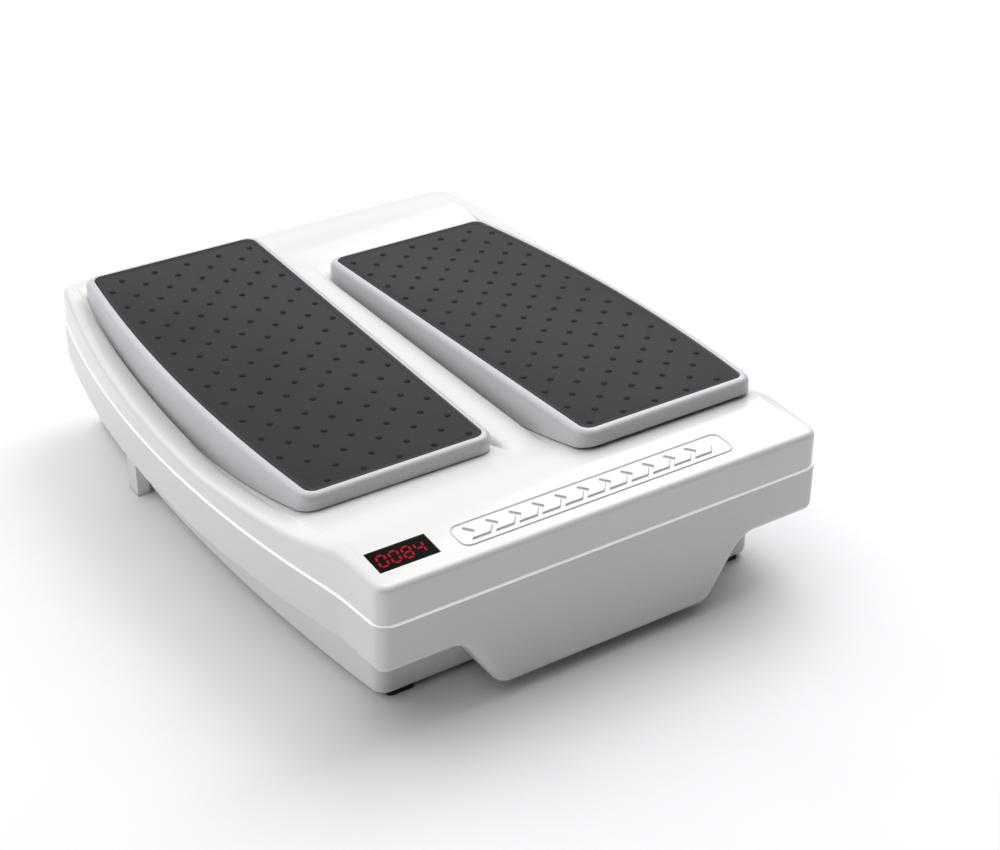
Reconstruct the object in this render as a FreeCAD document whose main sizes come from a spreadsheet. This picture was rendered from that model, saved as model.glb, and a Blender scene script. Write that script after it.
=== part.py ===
import FreeCAD, Part
import math
import os

import Sketcher

# Seated leg exerciser: two foot pads swing on a hollow arc, one forwards while the other goes back.
# Frame: origin on the floor under the middle of the machine, +X to the right, +Y to the back, +Z up.
# All sizes are millimetres and degrees.

DIMENSIONS = {
    # the casing, seen from above
    "front_y": -216.0, "back_y": 216.0,
    "front_half": 154.0, "kink_half": 156.5, "kink_y": -175.0,
    "back_half": 152.0, "side_radius": 866.0,
    "front_corner": 8.0, "kink_corner": 30.0, "back_corner": 12.0,
    "wall": 2.6, "seam_step": 0.8,
    # how far cutting tools and hidden joins run past what they meet
    "join_over": 1.0, "cut_over": 10.0, "far_side": 200.0,
    # heights of the casing
    "pan_base": 3.0, "pan_top": 47.5, "seam_z": 79.5,
    "block_front_z": 104.0, "block_top_z": 108.0, "block_front_y": -165.0, "block_back_y": 191.0,
    "blank_top": 118.5, "top_edge_radius": 5.0, "shell_edge_radius": 6.0,
    "seam_edge_radius": 0.7, "block_edge_radius": 7.0, "cut_base": 56.5, "cut_top": 136.5,
    # the strip along each side: heights in an inner and an outer plane, straight between them
    "strip_nose_y": -221.0, "strip_front_y": -166.0, "strip_low_y": -35.0, "strip_back_y": 205.0,
    "strip_in_x": 140.0, "strip_in_nose": 112.7, "strip_in_front": 112.8, "strip_in_low": 82.5,
    "strip_in_back": 108.3, "strip_in_front_radius": 391.0, "strip_in_back_radius": 1108.0,
    "strip_out_x": 200.0, "strip_out_nose": 88.2, "strip_out_front": 81.4, "strip_out_low": 98.7,
    "strip_out_back": 112.0, "strip_out_front_radius": -294.0, "strip_out_back_radius": 3667.0,
    # the swing of the pads
    "swing_y": 13.0, "swing_z": 723.5, "swing_angle": 2.0,
    "channel_radius": 640.4, "channel_wall_radius": 1480.0,
    "channel_end_half": 145.66, "channel_length": 370.0,
    "spine_half": 13.0, "spine_top": 99.5, "spine_round": 5.0, "spine_hollow_half": 115.0,
    # the foot pads
    "mat_radius": 611.0, "mat_length": 300.0, "mat_inner": 21.0, "mat_outer_end": 140.65,
    "mat_side_radius": 1135.0, "mat_corner": 7.0, "mat_thick": 3.4,
    "rim_width": 5.0, "rim_proud": 0.4, "tray_corner": 11.0, "rim_round": 4.2,
    "tray_gap": 0.9, "tray_wall": 3.0, "tray_hollow_corner": 8.0, "mat_play": 0.15, "mat_edge": 0.6,
    "stem_pad": 10.0, "stem_top": 87.5,
    # carriages, rollers and rails
    "stem_x": 90.0, "stem_wide": 24.0, "stem_long": 80.0, "stem_play": 0.1,
    "stem_slot_side": 2.0, "stem_slot_end": 26.0,
    "plate_base": 74.5, "plate_thick": 3.0, "plate_inner": 44.0, "plate_outer": 144.0,
    "plate_long": 188.0, "slot_inner": 60.0, "slot_outer": 76.0, "slot_half": 4.5,
    "bracket_inner_x": 61.5, "bracket_outer_x": 124.5, "bracket_thick": 3.0, "bracket_long": 22.0,
    "bracket_base": 59.5,
    "roller_circle": 662.0, "roller_radius": 9.0, "roller_wide": 8.0, "roller_bore": 4.05,
    "roller_step": 80.0, "roller_inner_x": 52.0, "roller_outer_x": 136.0, "roller_edge": 0.8,
    "roller_side_gap": 1.0, "roller_end_gap": 2.0,
    "axle_radius": 4.0, "axle_head_radius": 6.0, "axle_head": 1.5, "axle_play": 0.6,
    "rail_radius": 671.08, "rail_half": 116.0, "rail_thick": 6.0, "rail_base": 6.0,
    "rail_flange": 10.0, "rail_flange_thick": 3.0,
    # the rocking lever and its drive
    "lever_arm": 70.0, "lever_rest": 19.06, "lever_base": 64.5, "lever_thick": 4.0,
    "lever_half": 9.0, "hub_radius": 13.0, "hub_base": 56.5, "hub_top": 71.5,
    "post_radius": 6.0, "post_proud": 2.0, "post_flange": 17.0, "post_flange_thick": 4.0,
    "post_collar": 9.0, "collar_play": 0.2, "bush_radius": 8.0, "running_play": 0.06,
    "drive_pin_radius": 4.0, "drive_pin_top": 78.9, "pin_head_radius": 6.0, "pin_head_thick": 2.5,
    "gear_module": 1.5, "sector_teeth": 80.0, "sector_first": -2.0, "sector_last": 10.0,
    "sector_base": 58.5, "sector_thick": 6.0, "pinion_teeth": 16.0, "pinion_base": 57.0,
    "pinion_thick": 9.0, "pressure_angle": 25.0, "backlash": 0.08,
    "tooth_rise": 0.95, "tooth_fall": 1.2,
    "gearbox_half": 27.0, "gearbox_front": -100.0, "gearbox_back": -34.0,
    "gearbox_base": 15.0, "gearbox_top": 52.5, "gearbox_neck": 9.0, "gearbox_neck_high": 3.0,
    "shaft_radius": 3.0, "shaft_deep": 8.0, "shaft_seat_deep": 8.5, "shaft_proud": 2.0,
    "motor_radius": 18.0, "motor_length": 62.0, "motor_z": 35.0,
    "motor_boss": 7.0, "motor_boss_long": 4.0,
    "motor_bracket_wide": 14.0, "motor_bracket_inset": 4.0, "motor_bracket_thick": 3.0,
    "motor_screw_in": 7.0, "motor_screw_end": 14.0, "motor_screw_low": 5.4, "motor_screw_high": 9.0,
    # display
    "window_left": -145.0, "window_right": -106.5, "window_front": -202.2, "window_back": -183.6,
    "window_thick": 1.4, "window_sunk": 0.5, "window_gap": 0.25, "window_rest": 2.2,
    "window_recess": 6.0, "digits_inset": 3.5, "digits_under": 8.5, "digits_high": 7.2,
    "display_board_left": 6.0, "display_board_right": 10.0, "display_board_front": 2.0,
    "display_board_back": 4.0, "receiver_gap": 3.0, "receiver_size": 5.0, "receiver_high": 4.0,
    # base pan
    "pan_front_y": -181.5, "pan_front_half": 136.0, "pan_back_y": 203.0, "pan_back_half": 142.0,
    "pan_side_radius": 1540.0, "pan_wall": 3.0, "pan_corner": 9.0, "pan_edge": 3.0,
    # apron under the front face
    "apron_top_half": 100.0, "apron_base_half": 75.0, "apron_base": 7.5, "apron_back": -181.5,
    "apron_rise": 12.0, "apron_round": 4.0,
    # feet
    "foot_long": 24.0, "foot_wide": 18.0, "foot_front_x": 120.0, "foot_front_y": -168.0,
    "foot_back_x": 130.0, "foot_back_y": 180.0, "foot_corner": 3.0,
    "leg_inner": 151.5, "leg_outer": 160.0, "leg_front": 93.0, "leg_back": 107.0, "leg_pad": 2.0,
    # screws
    "screw_radius": 1.9, "screw_head": 3.6, "screw_head_high": 2.4,
    "screw_play": 0.3, "screw_head_play": 0.6, "screw_sink_top": 12.0,
    "boss_radius": 6.0, "boss_x": 118.0, "boss_front_y": -150.0, "boss_back_y": 176.0,
    "boss_hole_under_seam": 3.0, "cover_screw_under_seam": 4.0, "cover_screw_base": 8.0,
    "tray_screw_step": 25.0, "tray_screw_drop": 2.5, "tray_screw_reach": 9.0,
    # back wall fittings, in a shallow recess
    "recess_left": 38.0, "recess_right": 110.0, "recess_base": 52.5, "recess_top": 74.5,
    "recess_deep": 3.4, "recess_wall": 2.6, "recess_sill": 2.4,
    "gland_x": 92.0, "gland_z": 63.5, "gland_bore": 3.5, "gland_neck": 6.5, "gland_flange": 9.5,
    "gland_flange_thick": 2.5, "gland_inside": 8.0, "snap_fit": 0.02,
    "switch_x": 55.0, "switch_z": 63.5, "switch_hole_wide": 17.0, "switch_hole_high": 11.6,
    "switch_rim": 2.0, "switch_rim_thick": 1.6, "switch_deep": 14.0, "switch_wall": 1.2,
    "switch_floor": 2.0, "switch_radius": 5.3, "switch_wide": 16.2, "switch_tilt": 8.0,
    "switch_pin": 1.2, "switch_pin_end": 0.6, "switch_pin_hole_end": 0.8, "switch_pivot_deep": 1.0,
    "switch_key_deep": 1.5, "switch_key_crest": 3.2, "switch_key_dip": 2.3,
    "switch_key_taper": 0.6, "switch_key_tip": 0.3,
    # boards
    "board_thick": 1.6, "board_z": 14.0, "board_half": 39.0, "board_front": 50.0, "board_back": 155.0,
    "board_screw_x": 34.0, "board_screw_front": 55.0, "board_screw_back": 150.0,
    "board_boss_radius": 4.0, "board_screw_head": 3.0, "board_screw_head_high": 2.0,
    "board_screw_radius": 1.4, "board_screw_long": 7.0,
}

doc = FreeCAD.newDocument("LegExerciser")
sheet = doc.addObject("Spreadsheet::Sheet", "Dimensions")
for row, (name, number) in enumerate(DIMENSIONS.items(), start=1):
    sheet.set(f"A{row}", name)
    sheet.set(f"B{row}", str(number))
    sheet.setAlias(f"B{row}", name)
doc.recompute()


class Size:
    """A length that carries both its number and the expression that binds it to the sheet."""

    def __init__(self, number, text):
        self.number = float(number)
        self.text = text

    def join(self, other, sign, number):
        return Size(number, f"({self.text} {sign} {size(other).text})")

    def __add__(self, other):
        return self.join(other, "+", self.number + size(other).number)

    def __sub__(self, other):
        return self.join(other, "-", self.number - size(other).number)

    def __mul__(self, other):
        return self.join(other, "*", self.number * size(other).number)

    def __truediv__(self, other):
        return self.join(other, "/", self.number / size(other).number)

    def __neg__(self):
        return Size(-self.number, f"(-1 * {self.text})")


def size(thing):
    """A Size from a Size, a plain number or the name of a sheet cell."""
    if isinstance(thing, Size):
        return thing
    if isinstance(thing, str):
        return Size(sheet.get(thing), f"Dimensions.{thing}")
    return Size(thing, f"({thing})")


def number(thing):
    return size(thing).number


def bind(feature, **properties):
    for name, thing in properties.items():
        feature.setExpression(name, size(thing).text)


PLANES = {"top": "XY_Plane", "front": "XZ_Plane", "side": "YZ_Plane"}


def new_body(label):
    body = doc.addObject("PartDesign::Body", label)
    body.Label = label
    return body


def new_sketch(body, plane, level=0):
    """A sketch on one of the body's own planes, moved along the plane's normal to a level."""
    sketch = body.newObject("Sketcher::SketchObject", "Sketch")
    role = PLANES[plane]
    origin = [item for item in body.Origin.OriginFeatures if item.Role == role][0]
    sketch.AttachmentSupport = [(origin, "")]
    sketch.MapMode = "FlatFace"
    shift = -size(level) if plane == "front" else size(level)
    sketch.setExpression("AttachmentOffset.Base.z", shift.text)
    return sketch


def hold(sketch, edge, end, x, y):
    """Fix one end of an edge at a place taken from the sheet."""
    for kind, axis, place in (("DistanceX", -2, size(x)), ("DistanceY", -1, size(y))):
        if abs(place.number) < 1e-9:
            sketch.addConstraint(Sketcher.Constraint("PointOnObject", edge, end, axis))
            continue
        index = sketch.addConstraint(Sketcher.Constraint(kind, edge, end, place.number))
        sketch.setExpression(f"Constraints[{index}]", place.text)


def outline(sketch, corners):
    """A closed outline. A corner is (x, y), or (x, y, radius) where the edge that arrives at it
    is an arc: a positive radius bulges to the right of the direction of travel."""
    points = [FreeCAD.Vector(number(corner[0]), number(corner[1]), 0) for corner in corners]
    ends = []
    for index, corner in enumerate(corners):
        start, stop = points[index - 1], points[index]
        if len(corner) == 2:
            edge = sketch.addGeometry(Part.LineSegment(start, stop), False)
        else:
            radius = number(corner[2])
            chord = stop - start
            half = chord.Length / 2
            rise = abs(radius) - math.sqrt(radius ** 2 - half ** 2)
            right = FreeCAD.Vector(chord.y, -chord.x, 0).normalize()
            middle = (start + stop) * 0.5 + right * math.copysign(rise, radius)
            edge = sketch.addGeometry(Part.Arc(start, middle, stop), False)
            bound = sketch.addConstraint(Sketcher.Constraint("Radius", edge, abs(radius)))
            length = size(corner[2]) if radius > 0 else -size(corner[2])
            sketch.setExpression(f"Constraints[{bound}]", length.text)
        forwards = sketch.getPoint(edge, 1).distanceToPoint(start) < 1e-6
        ends.append((edge, 1, 2) if forwards else (edge, 2, 1))
    for index, corner in enumerate(corners):
        edge, _, last = ends[index]
        following, first, _ = ends[(index + 1) % len(ends)]
        sketch.addConstraint(Sketcher.Constraint("Coincident", edge, last, following, first))
        hold(sketch, edge, last, corner[0], corner[1])


def ring(sketch, x, y, radius):
    """A circle with its centre and radius taken from the sheet."""
    centre = FreeCAD.Vector(number(x), number(y), 0)
    circle = Part.Circle(centre, FreeCAD.Vector(0, 0, 1), number(radius))
    edge = sketch.addGeometry(circle, False)
    bound = sketch.addConstraint(Sketcher.Constraint("Radius", edge, number(radius)))
    sketch.setExpression(f"Constraints[{bound}]", size(radius).text)
    hold(sketch, edge, 3, x, y)


def pad(body, sketch, length, centred=False):
    feature = body.newObject("PartDesign::Pad", "Pad")
    feature.Profile = sketch
    feature.Midplane = centred
    bind(feature, Length=length)
    return feature


def round_edges(body, radius, chosen):
    """Fillet those edges of the body's last feature that the test picks."""
    doc.recompute()
    base = body.Tip
    names = [f"Edge{i}" for i, edge in enumerate(base.Shape.Edges, start=1) if chosen(edge)]
    feature = body.newObject("PartDesign::Fillet", "Fillet")
    feature.Base = (base, names)
    bind(feature, Radius=radius)
    return feature


def upright(edge):
    direction = edge.valueAt(edge.LastParameter) - edge.valueAt(edge.FirstParameter)
    return direction.Length > 1e-6 and abs(direction.z) / direction.Length > 0.999


def upright_at(x=None, y=None, slack=2.0):
    """A test that picks upright edges near |x| and y."""
    def chosen(edge):
        middle = edge.CenterOfMass
        near_x = x is None or abs(abs(middle.x) - number(x)) < slack
        near_y = y is None or abs(middle.y - number(y)) < slack
        return upright(edge) and near_x and near_y
    return chosen


def level_at(z, slack=0.01):
    def chosen(edge):
        box = edge.BoundBox
        return abs(box.ZMin - number(z)) < slack and abs(box.ZMax - number(z)) < slack
    return chosen


def prism(label, plane, corners, level, length, centred=False):
    body = new_body(label)
    sketch = new_sketch(body, plane, level)
    outline(sketch, corners)
    pad(body, sketch, length, centred)
    return body


def block(label, low, high):
    """A box between two corners."""
    item = doc.addObject("Part::Box", label)
    item.Label = label
    for axis, name, start, stop in zip("xyz", ("Length", "Width", "Height"), low, high):
        item.setExpression(f"Placement.Base.{axis}", size(start).text)
        item.setExpression(name, (size(stop) - start).text)
    return item


def rod(label, axis, centre, radius, length):
    """A cylinder that starts at a point and runs along +X, +Y or +Z."""
    turns = {"x": ((0, 1, 0), 90), "y": ((1, 0, 0), -90), "z": ((0, 0, 1), 0)}
    item = doc.addObject("Part::Cylinder", label)
    item.Label = label
    direction, angle = turns[axis]
    turn = FreeCAD.Rotation(FreeCAD.Vector(*direction), angle)
    item.Placement = FreeCAD.Placement(FreeCAD.Vector(), turn)
    for name, place in zip("xyz", centre):
        item.setExpression(f"Placement.Base.{name}", size(place).text)
    bind(item, Radius=radius, Height=length)
    return item


def boolean(kind, label, first, others):
    """Cut, fuse or intersect a shape with one or more others."""
    tool = others[0]
    if len(others) > 1:
        tool = doc.addObject("Part::MultiFuse", label + "_tools")
        tool.Shapes = others
    item = doc.addObject(f"Part::{kind}", label)
    item.Label = label
    item.Base = first
    item.Tool = tool
    item.Refine = True
    return item


def cut(label, first, *others):
    return boolean("Cut", label, first, list(others))


def fuse(label, first, *others):
    return boolean("Fuse", label, first, list(others))


def common(label, first, other):
    return boolean("Common", label, first, [other])


def group(label, shapes):
    """Separate solids that share one node, such as a set of screws."""
    item = doc.addObject("Part::Compound", label)
    item.Label = label
    item.Links = shapes
    return item


def rocked(item, angle):
    """Turn a piece about the pads' swing axis."""
    centre = "create(<<vector>>; 0; Dimensions.swing_y; Dimensions.swing_z)"
    turn = f"create(<<rotation>>; create(<<vector>>; 1; 0; 0); {size(angle).text})"
    item.setExpression("Placement", f"create(<<placement>>; create(<<vector>>; 0; 0; 0); {turn}; {centre})")
    return item


def screw(label, x, y, base, top):
    """A pan-head screw that stands upright, its head at the bottom."""
    head = rod(label + "_head", "z", (x, y, base), "screw_head", "screw_head_high")
    shank = rod(label + "_shank", "z", (x, y, base), "screw_radius", size(top) - base)
    return fuse(label, head, shank)


NODES = {}


def node(name, item):
    item.Label = name
    NODES[name] = item
    return item


# ---------------------------------------------------------------- casing

def casing_plan(inset):
    """The casing seen from above, anticlockwise from its front left corner."""
    front, back = size("front_y") + inset, size("back_y") - inset
    bulge = size("side_radius") - inset
    return [(-(size("front_half") - inset), front), (size("front_half") - inset, front),
            (size("kink_half") - inset, "kink_y"), (size("back_half") - inset, back, bulge),
            (-(size("back_half") - inset), back), (-(size("kink_half") - inset), "kink_y", bulge)]


def casing_prism(label, inset, base, top):
    body = prism(label, "top", casing_plan(inset), base, size(top) - base)
    round_edges(body, "front_corner", upright_at(y=size("front_y") + inset))
    round_edges(body, "back_corner", upright_at(y=size("back_y") - inset))
    round_edges(body, "kink_corner", upright_at(y="kink_y"))
    return body


def arc_height(radius, run):
    """Height of a cylinder of the swing axis at a distance in front of or behind the axis."""
    return number("swing_z") - math.sqrt(number(radius) ** 2 - run ** 2)


def swing_drum(label, radius):
    """Everything nearer to the swing axis than a radius."""
    return rod(label, "x", (-size("far_side"), "swing_y", "swing_z"), radius, size("far_side") * 2)


def channel_plan(grow):
    """Both pads' channels as one outline; their outer walls are shallow arcs."""
    end = size("channel_length") / 2
    front, back = size("swing_y") - end, size("swing_y") + end
    side = size("channel_end_half") + grow
    bulge = size("channel_wall_radius") + grow
    return [(-side, front, bulge), (side, front), (side, back, bulge), (-side, back)]


def spine(label, shrink):
    """The ridge between the pads, with its top corners rounded."""
    half, top = size("spine_half") - shrink, size("spine_top") - shrink
    corners = [(-half, "cut_base"), (half, "cut_base"), (half, top), (-half, top)]
    body = prism(label, "front", corners, "swing_y", "channel_length", centred=True)
    round_edges(body, "spine_round", lambda edge: level_at(top)(edge) and edge.BoundBox.YLength > 10)
    return body


def strip_section(place, drop):
    """The strip tool's outline in its inner or its outer plane."""
    points = [(f"strip_{spot}_y", size(f"strip_{place}_{spot}") - drop)
              for spot in ("nose", "front", "low", "back")]
    nose, front, low, back = points
    return [nose, front, (*low, f"strip_{place}_front_radius"), (*back, f"strip_{place}_back_radius"),
            ("strip_back_y", "cut_top"), ("strip_nose_y", "cut_top")]


def strip_tool(label, side, drop):
    """What is cut away above the strip along one side, which slopes down towards the pad."""
    body = new_body(label)
    sketches = []
    for place in ("in", "out"):
        sketch = new_sketch(body, "side", size(f"strip_{place}_x") * side)
        outline(sketch, strip_section(place, drop))
        sketches.append(sketch)
    feature = body.newObject("PartDesign::AdditiveLoft", "Loft")
    feature.Profile, feature.Sections, feature.Ruled = sketches[0], sketches[1:], True
    return body


def top_tool(label, drop):
    """What is cut away above the front block, the back lip and everything between."""
    front, back = size("front_y"), size("back_y")
    round_off, over, bend = size("top_edge_radius"), size("join_over"), -size("block_edge_radius")
    front_z, top_z = size("block_front_z") - drop, size("block_top_z") - drop
    corners = [(front - over, front_z - round_off), (front + round_off, front_z, bend),
               ("block_front_y", top_z), ("block_back_y", top_z),
               (back - round_off, front_z), (back + over, front_z - round_off, bend),
               (back + over, "cut_top"), (front - over, "cut_top")]
    return prism(label, "side", corners, 0, size("far_side") * 2, centred=True)


BOSSES = [(sx, y) for sx in (-1, 1) for y in ("boss_front_y", "boss_back_y")]


def make_upper_cover():
    wall = size("wall")
    blank = casing_prism("cover_blank", 0, "seam_z", "blank_top")
    tall = size("cut_top") - "cut_base"
    channel = prism("channel_blank", "top", channel_plan(0), "cut_base", tall)
    scoop = common("scoop", channel, swing_drum("channel_drum", "channel_radius"))
    scoop = cut("scoop_beside_spine", scoop, spine("spine_outside", 0))
    strips = [cut(f"strip_{side}", strip_tool(f"strip_tool_{side}", side, 0), channel)
              for side in (-1, 1)]
    outside = cut("cover_outside", blank, top_tool("top_tool", 0), scoop, *strips)

    hollow = casing_prism("cover_hollow", wall, "cut_base", "blank_top")
    grown = prism("channel_grown", "top", channel_plan(wall), "cut_base", tall)
    drum = swing_drum("channel_underside_drum", size("channel_radius") + wall)
    floor = common("channel_floor", grown, drum)
    half, reach = size("spine_half") - wall, size("spine_hollow_half")
    ridge_hole = block("ridge_hole", (-half, size("swing_y") - reach, "cut_base"),
                       (half, size("swing_y") + reach, size("spine_top") - wall))
    under_strips = [strip_tool(f"under_strip_{side}", side, wall) for side in (-1, 1)]
    hollow = cut("cover_cavity", hollow, top_tool("under_top", wall), floor, *under_strips)
    hollow = fuse("cover_cavity_all", hollow, ridge_hole)

    shell = cut("cover_shell", outside, hollow)
    bosses = []
    for index, (side, y) in enumerate(BOSSES):
        x = size("boss_x") * side
        bosses.append(rod(f"cover_boss_{index}", "z", (x, y, "pan_top"), "boss_radius",
                          size("cut_top") - "pan_top"))
    shell = common("cover_with_bosses", fuse("cover_and_rods", shell, *bosses), outside)
    holes = []
    for index, (side, y) in enumerate(BOSSES):
        x = size("boss_x") * side
        holes.append(rod(f"boss_hole_{index}", "z", (x, y, "pan_base"), "screw_radius",
                         size("seam_z") - "boss_hole_under_seam" - "pan_base"))
    for side in (-1, 1):
        centre = size("stem_x") * side
        half = size("stem_wide") / 2 + "stem_slot_side"
        reach = size("stem_long") / 2 + "stem_slot_end"
        holes.append(block(f"stem_slot_{side}", (centre - half, size("swing_y") - reach, "cut_base"),
                           (centre + half, size("swing_y") + reach, "cut_top")))
    holes.append(window_recess("window_recess", 0))
    inner = size("window_rest")
    holes.append(block("window_hole", (size("window_left") + inner, size("window_front") + inner, "seam_z"),
                       (size("window_right") - inner, size("window_back") - inner, "cut_top")))
    return node("upper_cover", cut("upper_cover", shell, *holes))


def window_slope():
    rise = number("block_top_z") - number("block_front_z")
    run = number("block_front_y") - number("front_y") - number("top_edge_radius")
    return math.degrees(math.atan2(rise, run))


def window_recess(label, gap):
    """The space of the display window: a thin box that slopes with the front block's top."""
    item = doc.addObject("Part::Box", label)
    item.Label = label
    width = size("window_right") - "window_left" - size(gap) * 2
    depth = size("window_back") - "window_front" - size(gap) * 2
    bind(item, Length=width, Width=depth, Height="window_thick" if gap else "window_recess")
    slope = window_slope()
    start_y = number("window_front") + number(gap)
    surface = number("block_front_z") + math.tan(math.radians(slope)) * (
        start_y - number("front_y") - number("top_edge_radius"))
    base = surface - number("window_sunk") - number("window_thick")
    place = FreeCAD.Vector(number("window_left") + number(gap), start_y, base)
    item.Placement = FreeCAD.Placement(place, FreeCAD.Rotation(FreeCAD.Vector(1, 0, 0), slope))
    return item


def make_lower_shell():
    wall, step = size("wall"), -size("seam_step")
    outside = casing_prism("shell_outside", step, "pan_top", "seam_z")
    round_edges(outside, "shell_edge_radius", level_at("pan_top"))
    round_edges(outside, "seam_edge_radius", level_at("seam_z"))
    hollow = casing_prism("shell_hollow", wall, size("pan_top") + wall, "blank_top")
    opening = prism("pan_opening", "top", pan_plan("pan_wall"), "pan_base", "pan_top")
    tub = cut("shell_tub", outside, hollow, opening)
    back, rim = size("back_y") + "seam_step", size("recess_wall")
    panel = recess_panel()
    backing = block("recess_backing",
                    (size("recess_left") - rim, panel - rim, size("recess_base") - "recess_sill"),
                    (size("recess_right") + rim, back - "join_over", size("recess_top") + rim))
    shell = fuse("shell_with_backing", tub, backing)
    recess = block("back_recess", ("recess_left", panel, "recess_base"),
                   ("recess_right", back + "cut_over", "recess_top"))
    over = size("cut_over")
    gland = rod("gland_hole", "y", ("gland_x", panel - over, "gland_z"), "gland_neck", over * 2)
    half_x = size("switch_hole_wide") / 2 + "switch_wall"
    half_z = size("switch_hole_high") / 2 + "switch_wall"
    switch = block("switch_hole", (size("switch_x") - half_x, panel - over, size("switch_z") - half_z),
                   (size("switch_x") + half_x, panel + over, size("switch_z") + half_z))
    notch = make_apron("apron_notch", 0, size("front_y") - over)
    node("lower_shell", cut("lower_shell", shell, notch, recess, gland, switch))
    front = size("front_y") - "seam_step"
    apron = make_apron("apron_blank", 0, front)
    round_edges(apron, "apron_round", apron_front_edge)
    node("front_apron", cut("front_apron", apron, make_apron("apron_hollow", wall, front + wall)))
    node("left_leg", leg(-1))
    node("right_leg", leg(1))


def recess_panel():
    """The face of the recessed panel in the back wall."""
    return size("back_y") + "seam_step" - "recess_deep"


def make_apron(label, inset, front):
    """The bib let into the front face, which reaches down from it; narrower at its foot."""
    low = size("apron_base") + inset
    top = size("pan_top") + "apron_rise"
    foot, head = size("apron_base_half") - inset, size("apron_top_half") - inset
    corners = [(-foot, low), (foot, low), (head, "pan_top"), (head, top), (-head, top), (-head, "pan_top")]
    body = prism(label, "front", corners, front, size("apron_back") - front)
    body.Tip.Reversed = True
    return body


def apron_front_edge(edge):
    """The apron's slanted and bottom edges in the front plane, but not its hidden top."""
    box = edge.BoundBox
    in_front = abs(box.YMax - number("front_y") + number("seam_step")) < 0.01
    return in_front and box.ZMin < number("pan_top") - number("join_over")


def leg(side):
    """A short side leg under the shell."""
    low, high = sorted((size("leg_inner") * side, size("leg_outer") * side), key=number)
    return block(f"leg_{side}", (low, "leg_front", "leg_pad"), (high, "leg_back", "pan_top"))


def pan_plan(inset):
    front, back = size("pan_front_y") + inset, size("pan_back_y") - inset
    bulge = size("pan_side_radius") - inset
    half_front, half_back = size("pan_front_half") - inset, size("pan_back_half") - inset
    return [(-half_front, front, bulge), (half_front, front),
            (half_back, back, bulge), (-half_back, back)]


BOARD_SCREWS = [(size("board_screw_x") * side, y) for side in (-1, 1)
                for y in ("board_screw_front", "board_screw_back")]


def make_base_pan():
    wall, floor = size("pan_wall"), size("pan_base") + "join_over"
    outside = prism("pan_outside", "top", pan_plan(0), "pan_base", size("pan_top") - "pan_base")
    round_edges(outside, "pan_corner", upright)
    round_edges(outside, "pan_edge", level_at("pan_base"))
    hollow = prism("pan_hollow", "top", pan_plan(wall), size("pan_base") + wall, "pan_top")
    bosses, holes = [], []
    for index, (side, y) in enumerate(BOSSES):
        x = size("boss_x") * side
        bosses.append(rod(f"pan_boss_{index}", "z", (x, y, floor), "boss_radius", size("pan_top") - floor))
        holes.append(rod(f"pan_sink_{index}", "z", (x, y, 0), size("screw_head") + "screw_head_play",
                         "screw_sink_top"))
        holes.append(rod(f"pan_hole_{index}", "z", (x, y, 0), size("screw_radius") + "screw_play",
                         "cut_base"))
    for index, (x, y) in enumerate(BOARD_SCREWS):
        bosses.append(rod(f"board_boss_{index}", "z", (x, y, floor), "board_boss_radius",
                          size("board_z") - floor))
    pan = cut("pan_tub", outside, hollow)
    pan = fuse("pan_with_bosses", pan, *bosses)
    return node("base_pan", cut("base_pan", pan, *holes))


def make_feet():
    for name, side, x, y in (("front_left_foot", -1, "foot_front_x", "foot_front_y"),
                             ("front_right_foot", 1, "foot_front_x", "foot_front_y"),
                             ("back_left_foot", -1, "foot_back_x", "foot_back_y"),
                             ("back_right_foot", 1, "foot_back_x", "foot_back_y")):
        half_x, half_y = size("foot_wide") / 2, size("foot_long") / 2
        x, y = size(x) * side, size(y)
        corners = [(x - half_x, y - half_y), (x + half_x, y - half_y),
                   (x + half_x, y + half_y), (x - half_x, y + half_y)]
        body = prism(name, "top", corners, 0, "pan_base")
        round_edges(body, "foot_corner", upright)
        node(name, body)
    for name, side in (("left_leg_pad", -1), ("right_leg_pad", 1)):
        low, high = sorted((size("leg_inner") * side, size("leg_outer") * side), key=number)
        node(name, block(name, (low, "leg_front", 0), (high, "leg_back", "leg_pad")))


def make_cover_screws():
    screws = []
    for index, (side, y) in enumerate(BOSSES):
        x = size("boss_x") * side
        screws.append(screw(f"cover_screw_{index}", x, y, "cover_screw_base",
                            size("seam_z") - "cover_screw_under_seam"))
    node("cover_screws", group("cover_screws", screws))


# ---------------------------------------------------------------- foot pads

def pad_plan(side, grow):
    """A foot mat's outline, grown evenly: straight inner side and ends, bowed outer side."""
    half = size("mat_length") / 2 + grow
    inner = size("mat_inner") - grow
    outer = size("mat_outer_end") + grow
    bulge = size("mat_side_radius") + grow
    front, back = size("swing_y") - half, size("swing_y") + half
    if side > 0:
        return [(inner, front), (outer, front), (outer, back, bulge), (inner, back)]
    return [(-outer, front, bulge), (-inner, front), (-inner, back), (-outer, back)]


def pad_prism(label, side, grow, corner, base, length):
    body = prism(label, "top", pad_plan(side, grow), base, length)
    if corner:
        round_edges(body, corner, upright)
    return body


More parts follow.
